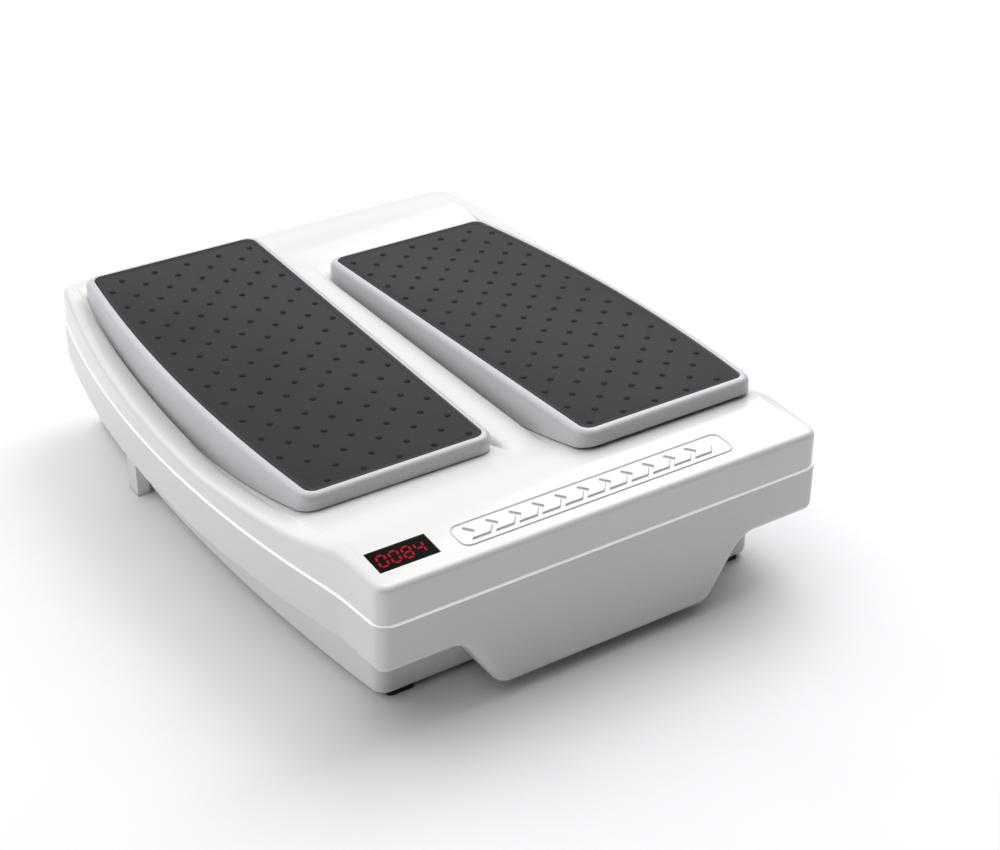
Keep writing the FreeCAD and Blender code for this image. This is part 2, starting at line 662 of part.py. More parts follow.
def make_pad(word, side):
    angle = size("swing_angle") * -side
    top = size("swing_z") - "mat_radius"
    rim_top = top + "rim_proud"
    outside = pad_prism(f"{word}_tray_blank", side, "rim_width", "tray_corner", "cut_base",
                        rim_top - "cut_base")
    round_edges(outside, "rim_round", level_at(rim_top))
    under = size("channel_radius") - "tray_gap"
    drum = swing_drum(f"{word}_tray_drum", under)
    solid = common(f"{word}_tray_solid", outside, drum)
    mat_base = top - "mat_thick"
    mat_hole = pad_prism(f"{word}_mat_hole", side, "mat_play", "mat_corner", mat_base,
                         size("cut_top") - mat_base)
    hollow = pad_prism(f"{word}_tray_hollow", side, size("rim_width") - "tray_wall", "tray_hollow_corner",
                       "pan_top", mat_base - "tray_wall" - "pan_top")
    centre = size("stem_x") * side
    half_x, half_y = size("stem_wide") / 2 + "stem_pad", size("stem_long") / 2 + "stem_pad"
    mount = block(f"{word}_stem_mount", (centre - half_x, size("swing_y") - half_y, "stem_top"),
                  (centre + half_x, size("swing_y") + half_y, "cut_top"))
    hollow = cut(f"{word}_tray_cavity", hollow, mount)
    stem_space = block(f"{word}_stem_space",
                       (centre - size("stem_wide") / 2, size("swing_y") - size("stem_long") / 2, "pan_top"),
                       (centre + size("stem_wide") / 2, size("swing_y") + size("stem_long") / 2,
                        "stem_top"))
    tray = cut(f"{word}_tray", solid, mat_hole, hollow, stem_space)
    rocked(node(f"{word}_tray", tray), angle)
    mat = pad_prism(f"{word}_mat", side, 0, "mat_corner", mat_base, "mat_thick")
    round_edges(mat, "mat_edge", level_at(top))
    rocked(node(f"{word}_mat", mat), angle)
    rocked(node(f"{word}_carriage", make_carriage(word, side)), angle)
    make_tray_screws(word, side, angle)
    for place, step in (("front", -1), ("back", 1)):
        make_axle(word, side, place, step, angle)


def make_carriage(word, side):
    """Steel plate under the cover: a stem up to the tray, a cross slot, and four axle brackets."""
    y = size("swing_y")
    low, high = sorted((size("plate_inner") * side, size("plate_outer") * side), key=number)
    top = size("plate_base") + "plate_thick"
    half = size("plate_long") / 2
    plate = block(f"{word}_plate", (low, y - half, "plate_base"), (high, y + half, top))
    centre = size("stem_x") * side
    stem_x, stem_y = size("stem_wide") / 2 - "stem_play", size("stem_long") / 2 - "stem_play"
    stem = block(f"{word}_stem", (centre - stem_x, y - stem_y, "plate_base"),
                 (centre + stem_x, y + stem_y, "stem_top"))
    brackets = []
    for name, x in (("inner", "bracket_inner_x"), ("outer", "bracket_outer_x")):
        for place, step in (("front", -1), ("back", 1)):
            x_low = size(x) * side - size("bracket_thick") / 2
            middle = y + size("roller_step") * step
            brackets.append(block(f"{word}_bracket_{name}_{place}",
                                  (x_low, middle - size("bracket_long") / 2, "bracket_base"),
                                  (x_low + "bracket_thick", middle + size("bracket_long") / 2,
                                   size("plate_base") + "join_over")))
    whole = fuse(f"{word}_carriage_blank", plate, stem, *brackets)
    slot_low, slot_high = sorted((size("slot_inner") * side, size("slot_outer") * side), key=number)
    above = top + "cut_over"
    holes = [block(f"{word}_cross_slot", (slot_low, y - "slot_half", "cut_base"),
                   (slot_high, y + "slot_half", above))]
    for place, step in (("front", -1), ("back", 1)):
        holes.append(rod(f"{word}_axle_hole_{place}", "x", (low, axle_y(step), axle_z()),
                         "axle_radius", high - low))
        for x in (size("roller_inner_x") * side, size("roller_outer_x") * side):
            half_wide = size("roller_wide") / 2 + "roller_side_gap"
            reach = size("roller_radius") + "roller_end_gap"
            holes.append(block(f"{word}_roller_window_{place}_{len(holes)}",
                               (x - half_wide, axle_y(step) - reach, "cut_base"),
                               (x + half_wide, axle_y(step) + reach, above)))
    return cut(f"{word}_carriage", whole, *holes)


def axle_y(step):
    return size("swing_y") + size("roller_step") * step


def axle_z():
    """Height of the axles, which lie on one circle about the swing axis."""
    return size(arc_height("roller_circle", number("roller_step")))


def make_axle(word, side, place, step, angle):
    """One axle with a head at each end, and its two rollers."""
    half_wide = size("roller_wide") / 2 + "axle_play"
    inner = size("roller_inner_x") - half_wide
    outer = size("roller_outer_x") + half_wide
    low, high = (inner, outer) if side > 0 else (-outer, -inner)
    y, z = axle_y(step), axle_z()
    shaft = rod(f"{word}_{place}_shaft", "x", (low, y, z), "axle_radius", high - low)
    heads = [rod(f"{word}_{place}_head_{end}", "x", (x, y, z), "axle_head_radius", "axle_head")
             for end, x in (("low", low - "axle_head"), ("high", high))]
    rocked(node(f"{word}_{place}_axle", fuse(f"{word}_{place}_axle", shaft, *heads)), angle)
    for name, x in (("inner", "roller_inner_x"), ("outer", "roller_outer_x")):
        start = size(x) * side - size("roller_wide") / 2
        body = new_body(f"{word}_{place}_{name}_roller")
        sketch = new_sketch(body, "side", start)
        ring(sketch, y, z, "roller_radius")
        ring(sketch, y, z, "roller_bore")
        pad(body, sketch, "roller_wide")
        round_edges(body, "roller_edge", is_roller_rim)
        rocked(node(f"{word}_{place}_{name}_roller", body), angle)


def is_roller_rim(edge):
    return edge.Length > 2 * math.pi * (number("roller_radius") - number("roller_edge"))


def make_tray_screws(word, side, angle):
    """Screws that hold the tray down on its stem, driven from below through the stem."""
    screws = []
    for index, step in enumerate((-1, 1)):
        y = size("swing_y") + size("tray_screw_step") * step
        screws.append(screw(f"{word}_tray_screw_{index}", size("stem_x") * side, y,
                            size("plate_base") - "tray_screw_drop", size("stem_top") + "tray_screw_reach"))
    rocked(node(f"{word}_tray_screws", group(f"{word}_tray_screws", screws)), angle)


# ---------------------------------------------------------------- rails and drive

def make_rails():
    """Curved-top rails that the rollers run on; their tops share the pads' swing axis."""
    y = size("swing_y")
    half = size("rail_half")
    end_z = size(arc_height("rail_radius", number("rail_half")))
    corners = [(y - half, "rail_base"), (y + half, "rail_base"), (y + half, end_z),
               (y - half, end_z, -size("rail_radius"))]
    for word, side in (("left", -1), ("right", 1)):
        for name, x in (("inner", "roller_inner_x"), ("outer", "roller_outer_x")):
            start = size(x) * side - size("rail_thick") / 2
            label = f"{word}_{name}_rail"
            web = prism(label + "_web", "side", corners, start, "rail_thick")
            edges = ((size(x) - "rail_flange") * side, (size(x) + size("rail_thick") / 2) * side)
            low, high = sorted(edges, key=number)
            flange = block(label + "_flange", (low, y - half, "rail_base"),
                           (high, y + half, size("rail_base") + "rail_flange_thick"))
            node(label, fuse(label, web, flange))


def make_pivot():
    y = size("swing_y")
    floor = size("pan_base") + "pan_wall"
    shaft = rod("post_shaft", "z", (0, y, floor), "post_radius", size("hub_top") - floor + "post_proud")
    flange = rod("post_foot", "z", (0, y, floor), "post_flange", "post_flange_thick")
    collar = rod("post_collar_rod", "z", (0, y, floor), "post_collar",
                 size("hub_base") - floor - "collar_play")
    node("pivot_post", fuse("pivot_post", shaft, flange, collar))


def gear_outline(teeth, indices, phase):
    """Involute teeth at the numbered places of a full gear, as points about the gear's centre.
    Place 0 is at the phase angle; the outline is open, from the first tooth to the last."""
    module = number("gear_module")
    pitch = module * teeth / 2
    tip, root = pitch + number("tooth_rise") * module, pitch - number("tooth_fall") * module
    pressure = math.radians(number("pressure_angle"))
    base = pitch * math.cos(pressure)
    half_tooth = (math.pi * module / 2 - 2 * number("backlash")) / 2 / pitch
    opening = math.tan(pressure) - pressure
    start = max(base, root)

    def flank(radius):
        bend = math.acos(min(1.0, base / radius))
        return half_tooth + opening - (math.tan(bend) - bend)

    points = []
    steps = [start + (tip - start) * k / 5 for k in range(6)]
    for index in indices:
        centre = phase + 2 * math.pi * index / teeth
        left = [(root, -flank(start))] + [(radius, -flank(radius)) for radius in steps]
        right = [(radius, flank(radius)) for radius in reversed(steps)] + [(root, flank(start))]
        for radius, angle in left + right:
            points.append(FreeCAD.Vector(radius * math.cos(centre + angle),
                                         radius * math.sin(centre + angle), 0))
    return points


def gear_solid(points, base, thick):
    wire = Part.makePolygon(points + [points[0]])
    shape = Part.Face(wire).extrude(FreeCAD.Vector(0, 0, number(thick)))
    shape.translate(FreeCAD.Vector(0, 0, number(base)))
    return shape


def make_sector_gear():
    """A toothed sector on the lever's hub; at rest one tooth points at the pinion."""
    teeth = int(number("sector_teeth"))
    first, last = int(number("sector_first")), int(number("sector_last"))
    front = -math.pi / 2
    indices = [-index for index in range(first, last + 1)][::-1]
    points = gear_outline(teeth, indices, front)
    shape = gear_solid([FreeCAD.Vector(0, 0, 0)] + points, "sector_base", "sector_thick")
    hub = Part.makeCylinder(number("hub_radius"), number("sector_thick"),
                            FreeCAD.Vector(0, 0, number("sector_base")))
    bore = Part.makeCylinder(number("bush_radius"), number("cut_top"))
    shape = shape.fuse(hub).cut(bore).removeSplitter()
    item = doc.addObject("Part::Feature", "sector_gear")
    item.Shape = shape
    item.Placement = FreeCAD.Placement(FreeCAD.Vector(0, number("swing_y"), 0), FreeCAD.Rotation())
    node("sector_gear", item)


def pinion_y():
    """The pinion's axis is in front of the lever's, one centre distance away."""
    teeth = number("sector_teeth") + number("pinion_teeth")
    return number("swing_y") - number("gear_module") * teeth / 2


def make_pinion():
    """Output shaft and pinion of the gearmotor; at rest a gap between teeth faces the sector."""
    teeth = int(number("pinion_teeth"))
    half_pitch = math.pi / teeth
    points = gear_outline(teeth, range(teeth), math.pi / 2 + half_pitch)
    gear = gear_solid(points, "pinion_base", "pinion_thick")
    base = number("gearbox_top") - number("shaft_deep")
    top = number("pinion_base") + number("pinion_thick") + number("shaft_proud")
    shaft = Part.makeCylinder(number("shaft_radius"), top - base, FreeCAD.Vector(0, 0, base))
    item = doc.addObject("Part::Feature", "output_pinion")
    item.Shape = gear.fuse(shaft).removeSplitter()
    item.Placement = FreeCAD.Placement(FreeCAD.Vector(0, pinion_y(), 0), FreeCAD.Rotation())
    node("output_pinion", item)


def make_lever():
    """The lever that swaps the two pads, drawn across the machine and then turned to its rest."""
    y = size("swing_y")
    arm, half = size("lever_arm"), size("lever_half")
    top = size("lever_base") + "lever_thick"
    turn = FreeCAD.Rotation(FreeCAD.Vector(0, 0, 1), -number("lever_rest"))
    centre = FreeCAD.Vector(0, number("swing_y"), 0)
    rest = FreeCAD.Placement(FreeCAD.Vector(), turn, centre)

    bar = block("lever_bar", (-arm, y - half, "lever_base"), (arm, y + half, top))
    ends = [rod(f"lever_end_{side}", "z", (arm * side, y, "lever_base"), half, "lever_thick")
            for side in (-1, 1)]
    hub_base = size("sector_base") + "sector_thick"
    hub = rod("lever_hub", "z", (0, y, hub_base), "hub_radius", size("hub_top") - hub_base)
    whole = fuse("lever_blank", bar, hub, *ends)
    holes = [rod("lever_bore", "z", (0, y, 0), "bush_radius", "cut_top")]
    for side in (-1, 1):
        holes.append(rod(f"lever_pin_hole_{side}", "z", (arm * side, y, 0), "drive_pin_radius", "cut_top"))
    node("rocker_lever", cut("rocker_lever", whole, *holes)).Placement = rest
    for word, side in (("left", -1), ("right", 1)):
        base = size("lever_base") - "pin_head_thick"
        pin = rod(f"{word}_pin_shank", "z", (arm * side, y, base), "drive_pin_radius",
                  size("drive_pin_top") - base)
        head = rod(f"{word}_pin_head", "z", (arm * side, y, base), "pin_head_radius", "pin_head_thick")
        node(f"{word}_drive_pin", fuse(f"{word}_drive_pin", pin, head)).Placement = rest
    body = new_body("pivot_bush")
    sketch = new_sketch(body, "top", "hub_base")
    ring(sketch, 0, y, "bush_radius")
    ring(sketch, 0, y, size("post_radius") + "running_play")
    pad(body, sketch, size("hub_top") - "hub_base")
    node("pivot_bush", body)


def make_gearmotor():
    y = size(pinion_y())
    half = size("gearbox_half")
    floor = size("pan_base") + "pan_wall"
    case = block("gearbox_case", (-half, "gearbox_front", "gearbox_base"),
                 (half, "gearbox_back", "gearbox_top"))
    neck = rod("gearbox_neck", "z", (0, y, "gearbox_top"), "gearbox_neck", "gearbox_neck_high")
    seat = rod("gearbox_seat", "z", (0, y, size("gearbox_top") - "shaft_seat_deep"),
               size("shaft_radius") + "running_play", size("shaft_seat_deep") + "cut_over")
    node("gearbox", cut("gearbox", fuse("gearbox_blank", case, neck), seat))
    start = size("gearbox_front") - "motor_length"
    can = rod("motor_body", "y", (0, start, "motor_z"), "motor_radius", "motor_length")
    boss = rod("motor_end", "y", (0, start - "motor_boss_long", "motor_z"), "motor_boss", "motor_boss_long")
    node("motor_can", fuse("motor_can", can, boss))
    low, high = size("gearbox_front") + "motor_bracket_inset", size("gearbox_back") - "motor_bracket_inset"
    thick, wide, top = size("motor_bracket_thick"), half + "motor_bracket_wide", size("gearbox_base")
    plate = block("bracket_plate", (-wide, low, top - thick), (wide, high, top))
    legs = []
    for side in (-1, 1):
        x_low, x_high = sorted(((wide - thick) * side, wide * side), key=number)
        legs.append(block(f"bracket_leg_{side}", (x_low, low, floor), (x_high, high, top - "join_over")))
    node("motor_bracket", fuse("motor_bracket", plate, *legs))
    screws = []
    for side in (-1, 1):
        x = (half - "motor_screw_in") * side
        for index, place in enumerate((size("gearbox_front") + "motor_screw_end",
                                       size("gearbox_back") - "motor_screw_end")):
            screws.append(screw(f"motor_screw_{side}_{index}", x, place, top - "motor_screw_low",
                                top + "motor_screw_high"))
    node("motor_screws", group("motor_screws", screws))


def drill(target, tool):
    """Take screws out of what they are driven into."""
    label = target
    old = NODES[label]
    old.Label = label + "_undrilled"
    node(label, cut(label + "_drilled", old, tool))


# ---------------------------------------------------------------- display, boards, back wall

def make_display():
    node("display_window", window_recess("display_window", "window_gap"))
    inset, base = size("digits_inset"), size("block_front_z") - "digits_under"
    left, right = size("window_left") + inset, size("window_right") - inset
    front, back = size("window_front") + inset, size("window_back") - inset
    node("digit_module", block("digit_module", (left, front, base), (right, back, base + "digits_high")))
    node("display_board", block("display_board",
                                (left - "display_board_left", front - "display_board_front",
                                 base - "board_thick"),
                                (right + "display_board_right", back + "display_board_back", base)))
    x, y, wide = right + "receiver_gap", front + "receiver_gap", size("receiver_size")
    node("infrared_receiver", block("infrared_receiver", (x, y, base),
                                    (x + wide, y + wide, base + "receiver_high")))


# parts on the control board: boxes as (x, y, x, y, height) and upright cans as (x, y, radius, height)
BOARD_BOXES = {"transformer": (-36, 64, -2, 100, 26), "driver_heatsink": (-36, 110, -6, 118, 24),
               "processor": (2, 106, 22, 126, 2.5), "connector_row": (-26, 134, 26, 142, 9)}
BOARD_CANS = {"capacitor_large": (14, 76, 9, 26), "capacitor_small": (31, 74, 6, 18)}


def make_control_board():
    half, z = size("board_half"), size("board_z")
    top = z + "board_thick"
    node("control_board", block("control_board", (-half, "board_front", z), (half, "board_back", top)))
    parts = [block(name, (left, front, top), (right, back, top + high))
             for name, (left, front, right, back, high) in BOARD_BOXES.items()]
    parts += [rod(name, "z", (x, y, top), radius, high)
              for name, (x, y, radius, high) in BOARD_CANS.items()]
    node("board_components", group("board_components", parts))
    screws = []
    length = size("board_screw_long")
    for index, (x, y) in enumerate(BOARD_SCREWS):
        head = rod(f"board_head_{index}", "z", (x, y, top), "board_screw_head", "board_screw_head_high")
        shank = rod(f"board_shank_{index}", "z", (x, y, top - length), "board_screw_radius", length)
        screws.append(fuse(f"board_screw_{index}", head, shank))
    node("board_screws", group("board_screws", screws))


def make_gland():
    """The rubber bush that the supply cord goes in through."""
    back = recess_panel()
    inner = back - "recess_wall" - "gland_inside"
    neck = rod("gland_neck_rod", "y", ("gland_x", inner, "gland_z"), size("gland_neck") - "snap_fit",
               back - inner)
    flange = rod("gland_flange", "y", ("gland_x", back, "gland_z"), "gland_flange", "gland_flange_thick")
    bore = rod("gland_bore_rod", "y", ("gland_x", inner - "join_over", "gland_z"), "gland_bore",
               size("gland_inside") + "recess_wall" + "cut_over")
    node("cord_gland", cut("cord_gland", fuse("gland_blank", neck, flange), bore))


def make_switch():
    """Rocker power switch: a snap-in housing and the key that tips in it about X."""
    x, z = size("switch_x"), size("switch_z")
    back = recess_panel()
    half_x, half_z = size("switch_hole_wide") / 2, size("switch_hole_high") / 2
    wall, rim = size("switch_wall") - "snap_fit", size("switch_rim")
    inner = back - "switch_deep"
    case = block("switch_case", (x - half_x - wall, inner, z - half_z - wall),
                 (x + half_x + wall, back, z + half_z + wall))
    face = block("switch_face", (x - half_x - rim, back, z - half_z - rim),
                 (x + half_x + rim, back + "switch_rim_thick", z + half_z + rim))
    hole = block("switch_mouth", (x - half_x, inner + "switch_floor", z - half_z),
                 (x + half_x, back + "cut_over", z + half_z))
    radius, pivot = size("switch_radius"), back - "switch_pivot_deep"
    end = half_x + "switch_pin_hole_end"
    pin_hole = rod("switch_pin_hole", "x", (x - end, pivot, z), size("switch_pin") + "running_play",
                   end * 2)
    node("switch_housing", cut("switch_housing", fuse("switch_blank", case, face), hole, pin_hole))

    root, crest = pivot - "switch_key_deep", pivot + "switch_key_crest"
    narrow, broad = radius - "switch_key_taper", radius - "switch_key_tip"
    corners = [(root, z - narrow), (crest, z - broad), (pivot + "switch_key_dip", z),
               (crest, z + broad), (root, z + narrow)]
    key = prism("switch_key_body", "side", corners, x - size("switch_wide") / 2, "switch_wide")
    end = half_x + "switch_pin_end"
    pin = rod("switch_key_pin", "x", (x - end, pivot, z), "switch_pin", end * 2)
    turn = FreeCAD.Rotation(FreeCAD.Vector(1, 0, 0), -number("switch_tilt"))
    rest = FreeCAD.Placement(FreeCAD.Vector(), turn, FreeCAD.Vector(0, pivot.number, z.number))
    node("switch_key", fuse("switch_key", key, pin)).Placement = rest


make_upper_cover()
make_lower_shell()
make_base_pan()
make_feet()
make_cover_screws()
for pad_word, pad_side in (("left", -1), ("right", 1)):
    make_pad(pad_word, pad_side)
make_rails()
make_pivot()
make_sector_gear()
make_pinion()
make_lever()
make_gearmotor()
make_display()
make_control_board()
make_gland()
make_switch()
for target, tool in (("upper_cover", "cover_screws"), ("gearbox", "motor_screws"),
                     ("motor_bracket", "motor_screws"), ("control_board", "board_screws"),
                     ("base_pan", "board_screws"), ("left_tray", "left_tray_screws"),
                     ("right_tray", "right_tray_screws"), ("left_carriage", "left_tray_screws"),
                     ("right_carriage", "right_tray_screws")):
    drill(target, NODES[tool])

doc.recompute()
problems = [f"{item.Name}: {item.State}" for item in doc.Objects
            if "Invalid" in item.State or "Error" in item.State]
for name, item in NODES.items():
    if item.Shape.isNull() or not item.Shape.isValid() or not item.Shape.Solids:
        problems.append(f"{name}: bad shape")
if problems:
    raise RuntimeError("\n".join(problems))

os.makedirs("parts", exist_ok=True)
for name, item in NODES.items():
    item.Shape.exportStep(f"parts/{name}.step")
    print(f"{name}: {len(item.Shape.Solids)} solid(s), {item.Shape.Volume / 1000:.1f} cm3")
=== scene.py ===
import math

import bpy
from mathutils import Matrix, Vector


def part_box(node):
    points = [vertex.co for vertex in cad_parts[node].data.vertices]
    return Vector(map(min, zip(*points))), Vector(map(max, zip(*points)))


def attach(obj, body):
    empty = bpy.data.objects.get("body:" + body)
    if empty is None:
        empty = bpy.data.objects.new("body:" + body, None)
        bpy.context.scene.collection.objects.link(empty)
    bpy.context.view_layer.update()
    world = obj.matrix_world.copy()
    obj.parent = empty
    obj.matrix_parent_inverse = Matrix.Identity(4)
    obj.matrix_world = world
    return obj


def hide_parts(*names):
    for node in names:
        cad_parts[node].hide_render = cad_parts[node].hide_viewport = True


# Looks for the seated leg exerciser. Shapes are worked out in millimetres in the CAD frame
# (+X right, +Y back, +Z up, origin on the floor) and made in metres.
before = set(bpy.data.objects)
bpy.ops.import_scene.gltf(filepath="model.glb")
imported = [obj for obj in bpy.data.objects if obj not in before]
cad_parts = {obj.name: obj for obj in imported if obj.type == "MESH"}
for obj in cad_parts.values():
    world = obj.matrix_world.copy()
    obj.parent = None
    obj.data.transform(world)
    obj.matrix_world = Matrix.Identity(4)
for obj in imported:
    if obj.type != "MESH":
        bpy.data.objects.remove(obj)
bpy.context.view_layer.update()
MM = 0.001


def node_box(name):
    """A CAD node's low and high corners, in millimetres."""
    return [Vector(corner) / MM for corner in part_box(name)]


# ------------------------------------------------------------------ driving sizes
# casing outline: straight front sides out to a kink, then one long arc to the back
COVER_LOW, COVER_HIGH = node_box("upper_cover")
FRONT_Y, BACK_Y, SEAM_Z = COVER_LOW.y, COVER_HIGH.y, COVER_LOW.z
LIP_PROUD, LIP_RADIUS, LIP_RISE, LIP_STEPS = 0.82, 0.9, 0.6, 6
FRONT_HALF, KINK_HALF, KINK_Y, BACK_HALF, SIDE_RADIUS = 154.0, 156.5, -175.0, 152.0, 866.0
FRONT_CORNER, BACK_CORNER, KINK_BLEND = 8.0, 12.0, 2.0
SIDE_ROUND, END_ROUND = 4.6, 3.6

# the pads swing about SWING, over a hollow arc on each side of a ridge, behind the front block
SWING = Vector((0.0, 13.0, 723.5))
CHANNEL_RADIUS, CHANNEL_WALL_RADIUS = 640.4, 1480.0
CHANNEL_HALF_LENGTH, CHANNEL_END_HALF = 185.0, 145.66
SPINE_HALF, SPINE_TOP, SPINE_ROUND = 13.0, 99.5, 5.0
BLOCK_FRONT_Y, BLOCK_FRONT_Z = FRONT_Y + 5.0, 104.0
BLOCK_TOP_Y, BLOCK_TOP_Z, BLOCK_BACK_Y, BLOCK_BACK_END = -165.0, 108.0, 191.0, BACK_Y - 5.0
# how far each pair of the cover's surfaces runs into the other
SPINE_BLEND, BLOCK_BLEND, TOP_BLEND, WALL_SLOPE = 1.5, 3.0, 5.0, 1.4

# the strip along each side: its height in two planes of x, as (y, z) points, each after the first
# with the radius of the arc that leads to it (0 for a straight line)
STRIP_IN_X, STRIP_OUT_X = 140.0, 200.0
STRIP_IN = ((-221.0, 112.7), (-166.0, 112.8, 0), (-35.0, 82.5, 391.0), (205.0, 108.3, 1108.0))
STRIP_OUT = ((-221.0, 88.2), (-166.0, 81.4, 0), (-35.0, 98.7, -294.0), (205.0, 112.0, 3667.0))

# mats, level under the swing axis before they are tilted, with staggered rows of studs
PAD_TOP, MAT_HALF_LENGTH, MAT_INNER, MAT_OUTER_END = 112.5, 150.0, 21.0, 140.65
MAT_SIDE_RADIUS, MAT_CORNER, MAT_THICK, MAT_EDGE, REST_TILT = 1135.0, 7.0, 3.4, 0.9, 2.0
MAT_FOOT_INSET, MAT_CREASE = 0.15, 40
MAT_CORNER_STEPS, MAT_SIDE_SPANS, MAT_EDGE_STEPS = 8, 40, 4
GROOVE_PROFILE = ((2.6, 0.0), (2.9, -0.25), (3.5, -0.25), (3.8, 0.0))
STUD_RADIUS, STUD_HEIGHT, STUD_SIDES = 2.1, 0.9, 12
STUD_PROFILE = ((1.12, -0.1), (1.0, 0.15), (0.82, 0.62), (0.45, 0.93))
STUD_ROWS, STUD_ROW_PITCH, STUD_FIRST_Y = 25, 11.7, -143.4
STUD_COLUMNS, STUD_COLUMN_PITCH, STUD_FIRST_X, STUD_EDGE_GAP = 5, 24.0, 29.0, 6.0


# ------------------------------------------------------------------ small helpers

def smooth_min(a, b, reach):
    """The lower of two heights, with their meeting rounded where they are within reach."""
    blend = max(reach - abs(a - b), 0) / reach
    return min(a, b) - blend * blend * reach / 4


def smooth_max(a, b, reach):
    """The higher of two heights, rounded in the same way."""
    return -smooth_min(-a, -b, reach)


def smooth_step(t):
    """An even S-shaped rise from 0 to 1."""
    t = min(max(t, 0), 1)
    return t * t * (3 - 2 * t)


def round_off(distance, radius):
    """How far a rounded edge lies below its flat, at a distance inside the edge."""
    if distance >= radius:
        return 0.0
    return radius - math.sqrt(max(radius ** 2 - (radius - distance) ** 2, 0))


def round_steps(radius, count):
    """Distances from an edge that space points evenly round its quarter circle."""
    return [radius * (1 - math.cos(math.pi / 2 * k / count)) for k in range(count)]


def quarter_turn(count):
    """Angles from 0 to a quarter turn, in equal steps."""
    return [math.pi / 2 * k / count for k in range(count + 1)]


def arc_height(start, end, radius, y):
    """Height at y of an arc from start to end that sags for a positive radius."""
    along = (y - start[0]) / (end[0] - start[0])
    line = start[1] + (end[1] - start[1]) * along
    if not radius:
        return line
    return line - (end[0] - start[0]) ** 2 * along * (1 - along) / (2 * radius)


def add_piece(name, points, faces, material, body="root", smooth=True):
    """A new mesh from points in millimetres, riding on a body."""
    mesh = bpy.data.meshes.new(name)
    mesh.from_pydata([Vector(p) * MM for p in points], [], faces)
    mesh.polygons.foreach_set("use_smooth", [smooth] * len(mesh.polygons))
    mesh.materials.append(material)
    mesh.validate()
    piece = bpy.data.objects.new(name, mesh)
    bpy.context.scene.collection.objects.link(piece)
    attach(piece, body)
    return piece


def bridge(first, second, closed=True):
    """Quads between two rows of point numbers."""
    wrap = len(first)
    return [(first[i], first[(i + 1) % wrap], second[(i + 1) % wrap], second[i])
            for i in range(wrap if closed else wrap - 1)]


def add_ring(points, ring):
    """Adds a row of points and returns their numbers."""
    points.extend(ring)
    return range(len(points) - len(ring), len(points))


def bridge_all(rings, closed=True):
    """Quads between each ring and the next."""
    return [quad for low, high in zip(rings, rings[1:]) for quad in bridge(low, high, closed)]


# ------------------------------------------------------------------ materials

def new_material(name):
    """A material with its nodes and links."""
    material = bpy.data.materials.new(name)
    material.use_nodes = True
    return material, material.node_tree.nodes, material.node_tree.links


PATCH_SCALE, PATCH_LEVELS = 14.0, (0.3, 0.7)
GRAIN_DETAIL, GRAIN_DEPTH = 6.0, 0.0004
FINISH_LOW, FINISH_HIGH = 0.88, 1.12


def surface(name, colour, roughness, grain=900.0, bump=0.05, vary=0.04, stretch=(1, 1, 1),
            metallic=0.0, coat=0.0, specular=0.5):
    """A shader whose colour drifts over large patches and whose finish has a fine grain."""
    material, nodes, links = new_material(name)
    shader = nodes["Principled BSDF"]
    place = nodes.new("ShaderNodeTexCoord")
    mapping = nodes.new("ShaderNodeMapping")
    mapping.inputs["Scale"].default_value = stretch
    links.new(place.outputs["Object"], mapping.inputs["Vector"])
    patches, fine = nodes.new("ShaderNodeTexNoise"), nodes.new("ShaderNodeTexNoise")
    patches.inputs["Scale"].default_value = PATCH_SCALE
    fine.inputs["Scale"].default_value = grain
    fine.inputs["Detail"].default_value = GRAIN_DETAIL
    links.new(place.outputs["Object"], patches.inputs["Vector"])
    links.new(mapping.outputs["Vector"], fine.inputs["Vector"])
    ramp = nodes.new("ShaderNodeValToRGB")
    for stop, level, shift in zip(ramp.color_ramp.elements, PATCH_LEVELS, (1 - vary, 1 + vary)):
        stop.position = level
        stop.color = (*[min(channel * shift, 1) for channel in colour], 1)
    links.new(patches.outputs["Fac"], ramp.inputs["Fac"])
    links.new(ramp.outputs["Color"], shader.inputs["Base Color"])
    finish = nodes.new("ShaderNodeMapRange")
    finish.inputs["To Min"].default_value = roughness * FINISH_LOW
    finish.inputs["To Max"].default_value = min(roughness * FINISH_HIGH, 1)
    links.new(fine.outputs["Fac"], finish.inputs["Value"])
    links.new(finish.outputs["Result"], shader.inputs["Roughness"])
    relief = nodes.new("ShaderNodeBump")
    relief.inputs["Strength"].default_value = bump
    relief.inputs["Distance"].default_value = GRAIN_DEPTH
    links.new(fine.outputs["Fac"], relief.inputs["Height"])
    links.new(relief.outputs["Normal"], shader.inputs["Normal"])
    shader.inputs["Metallic"].default_value = metallic
    shader.inputs["Coat Weight"].default_value = coat
    shader.inputs["Specular IOR Level"].default_value = specular
    return material


GLOW_SCALE, GLOW_LOW, GLOW_HIGH = 700, 0.7, 1.3
GLOW_BODY, GLOW_ROUGHNESS, GLOW_SPECULAR = 0.2, 0.5, 0.05


def glow(name, colour, strength):
    """Lit display segments, whose strength varies a little with a fine noise."""
    material, nodes, links = new_material(name)
    shader = nodes["Principled BSDF"]
    noise = nodes.new("ShaderNodeTexNoise")
    noise.inputs["Scale"].default_value = GLOW_SCALE
    place = nodes.new("ShaderNodeTexCoord")
    links.new(place.outputs["Object"], noise.inputs["Vector"])
    power = nodes.new("ShaderNodeMapRange")
    power.inputs["To Min"].default_value = strength * GLOW_LOW
    power.inputs["To Max"].default_value = strength * GLOW_HIGH
    links.new(noise.outputs["Fac"], power.inputs["Value"])
    links.new(power.outputs["Result"], shader.inputs["Emission Strength"])
    shader.inputs["Emission Color"].default_value = (*colour, 1)
    shader.inputs["Base Color"].default_value = (*[c * GLOW_BODY for c in colour], 1)
    shader.inputs["Roughness"].default_value = GLOW_ROUGHNESS
    shader.inputs["Specular IOR Level"].default_value = GLOW_SPECULAR
    return material


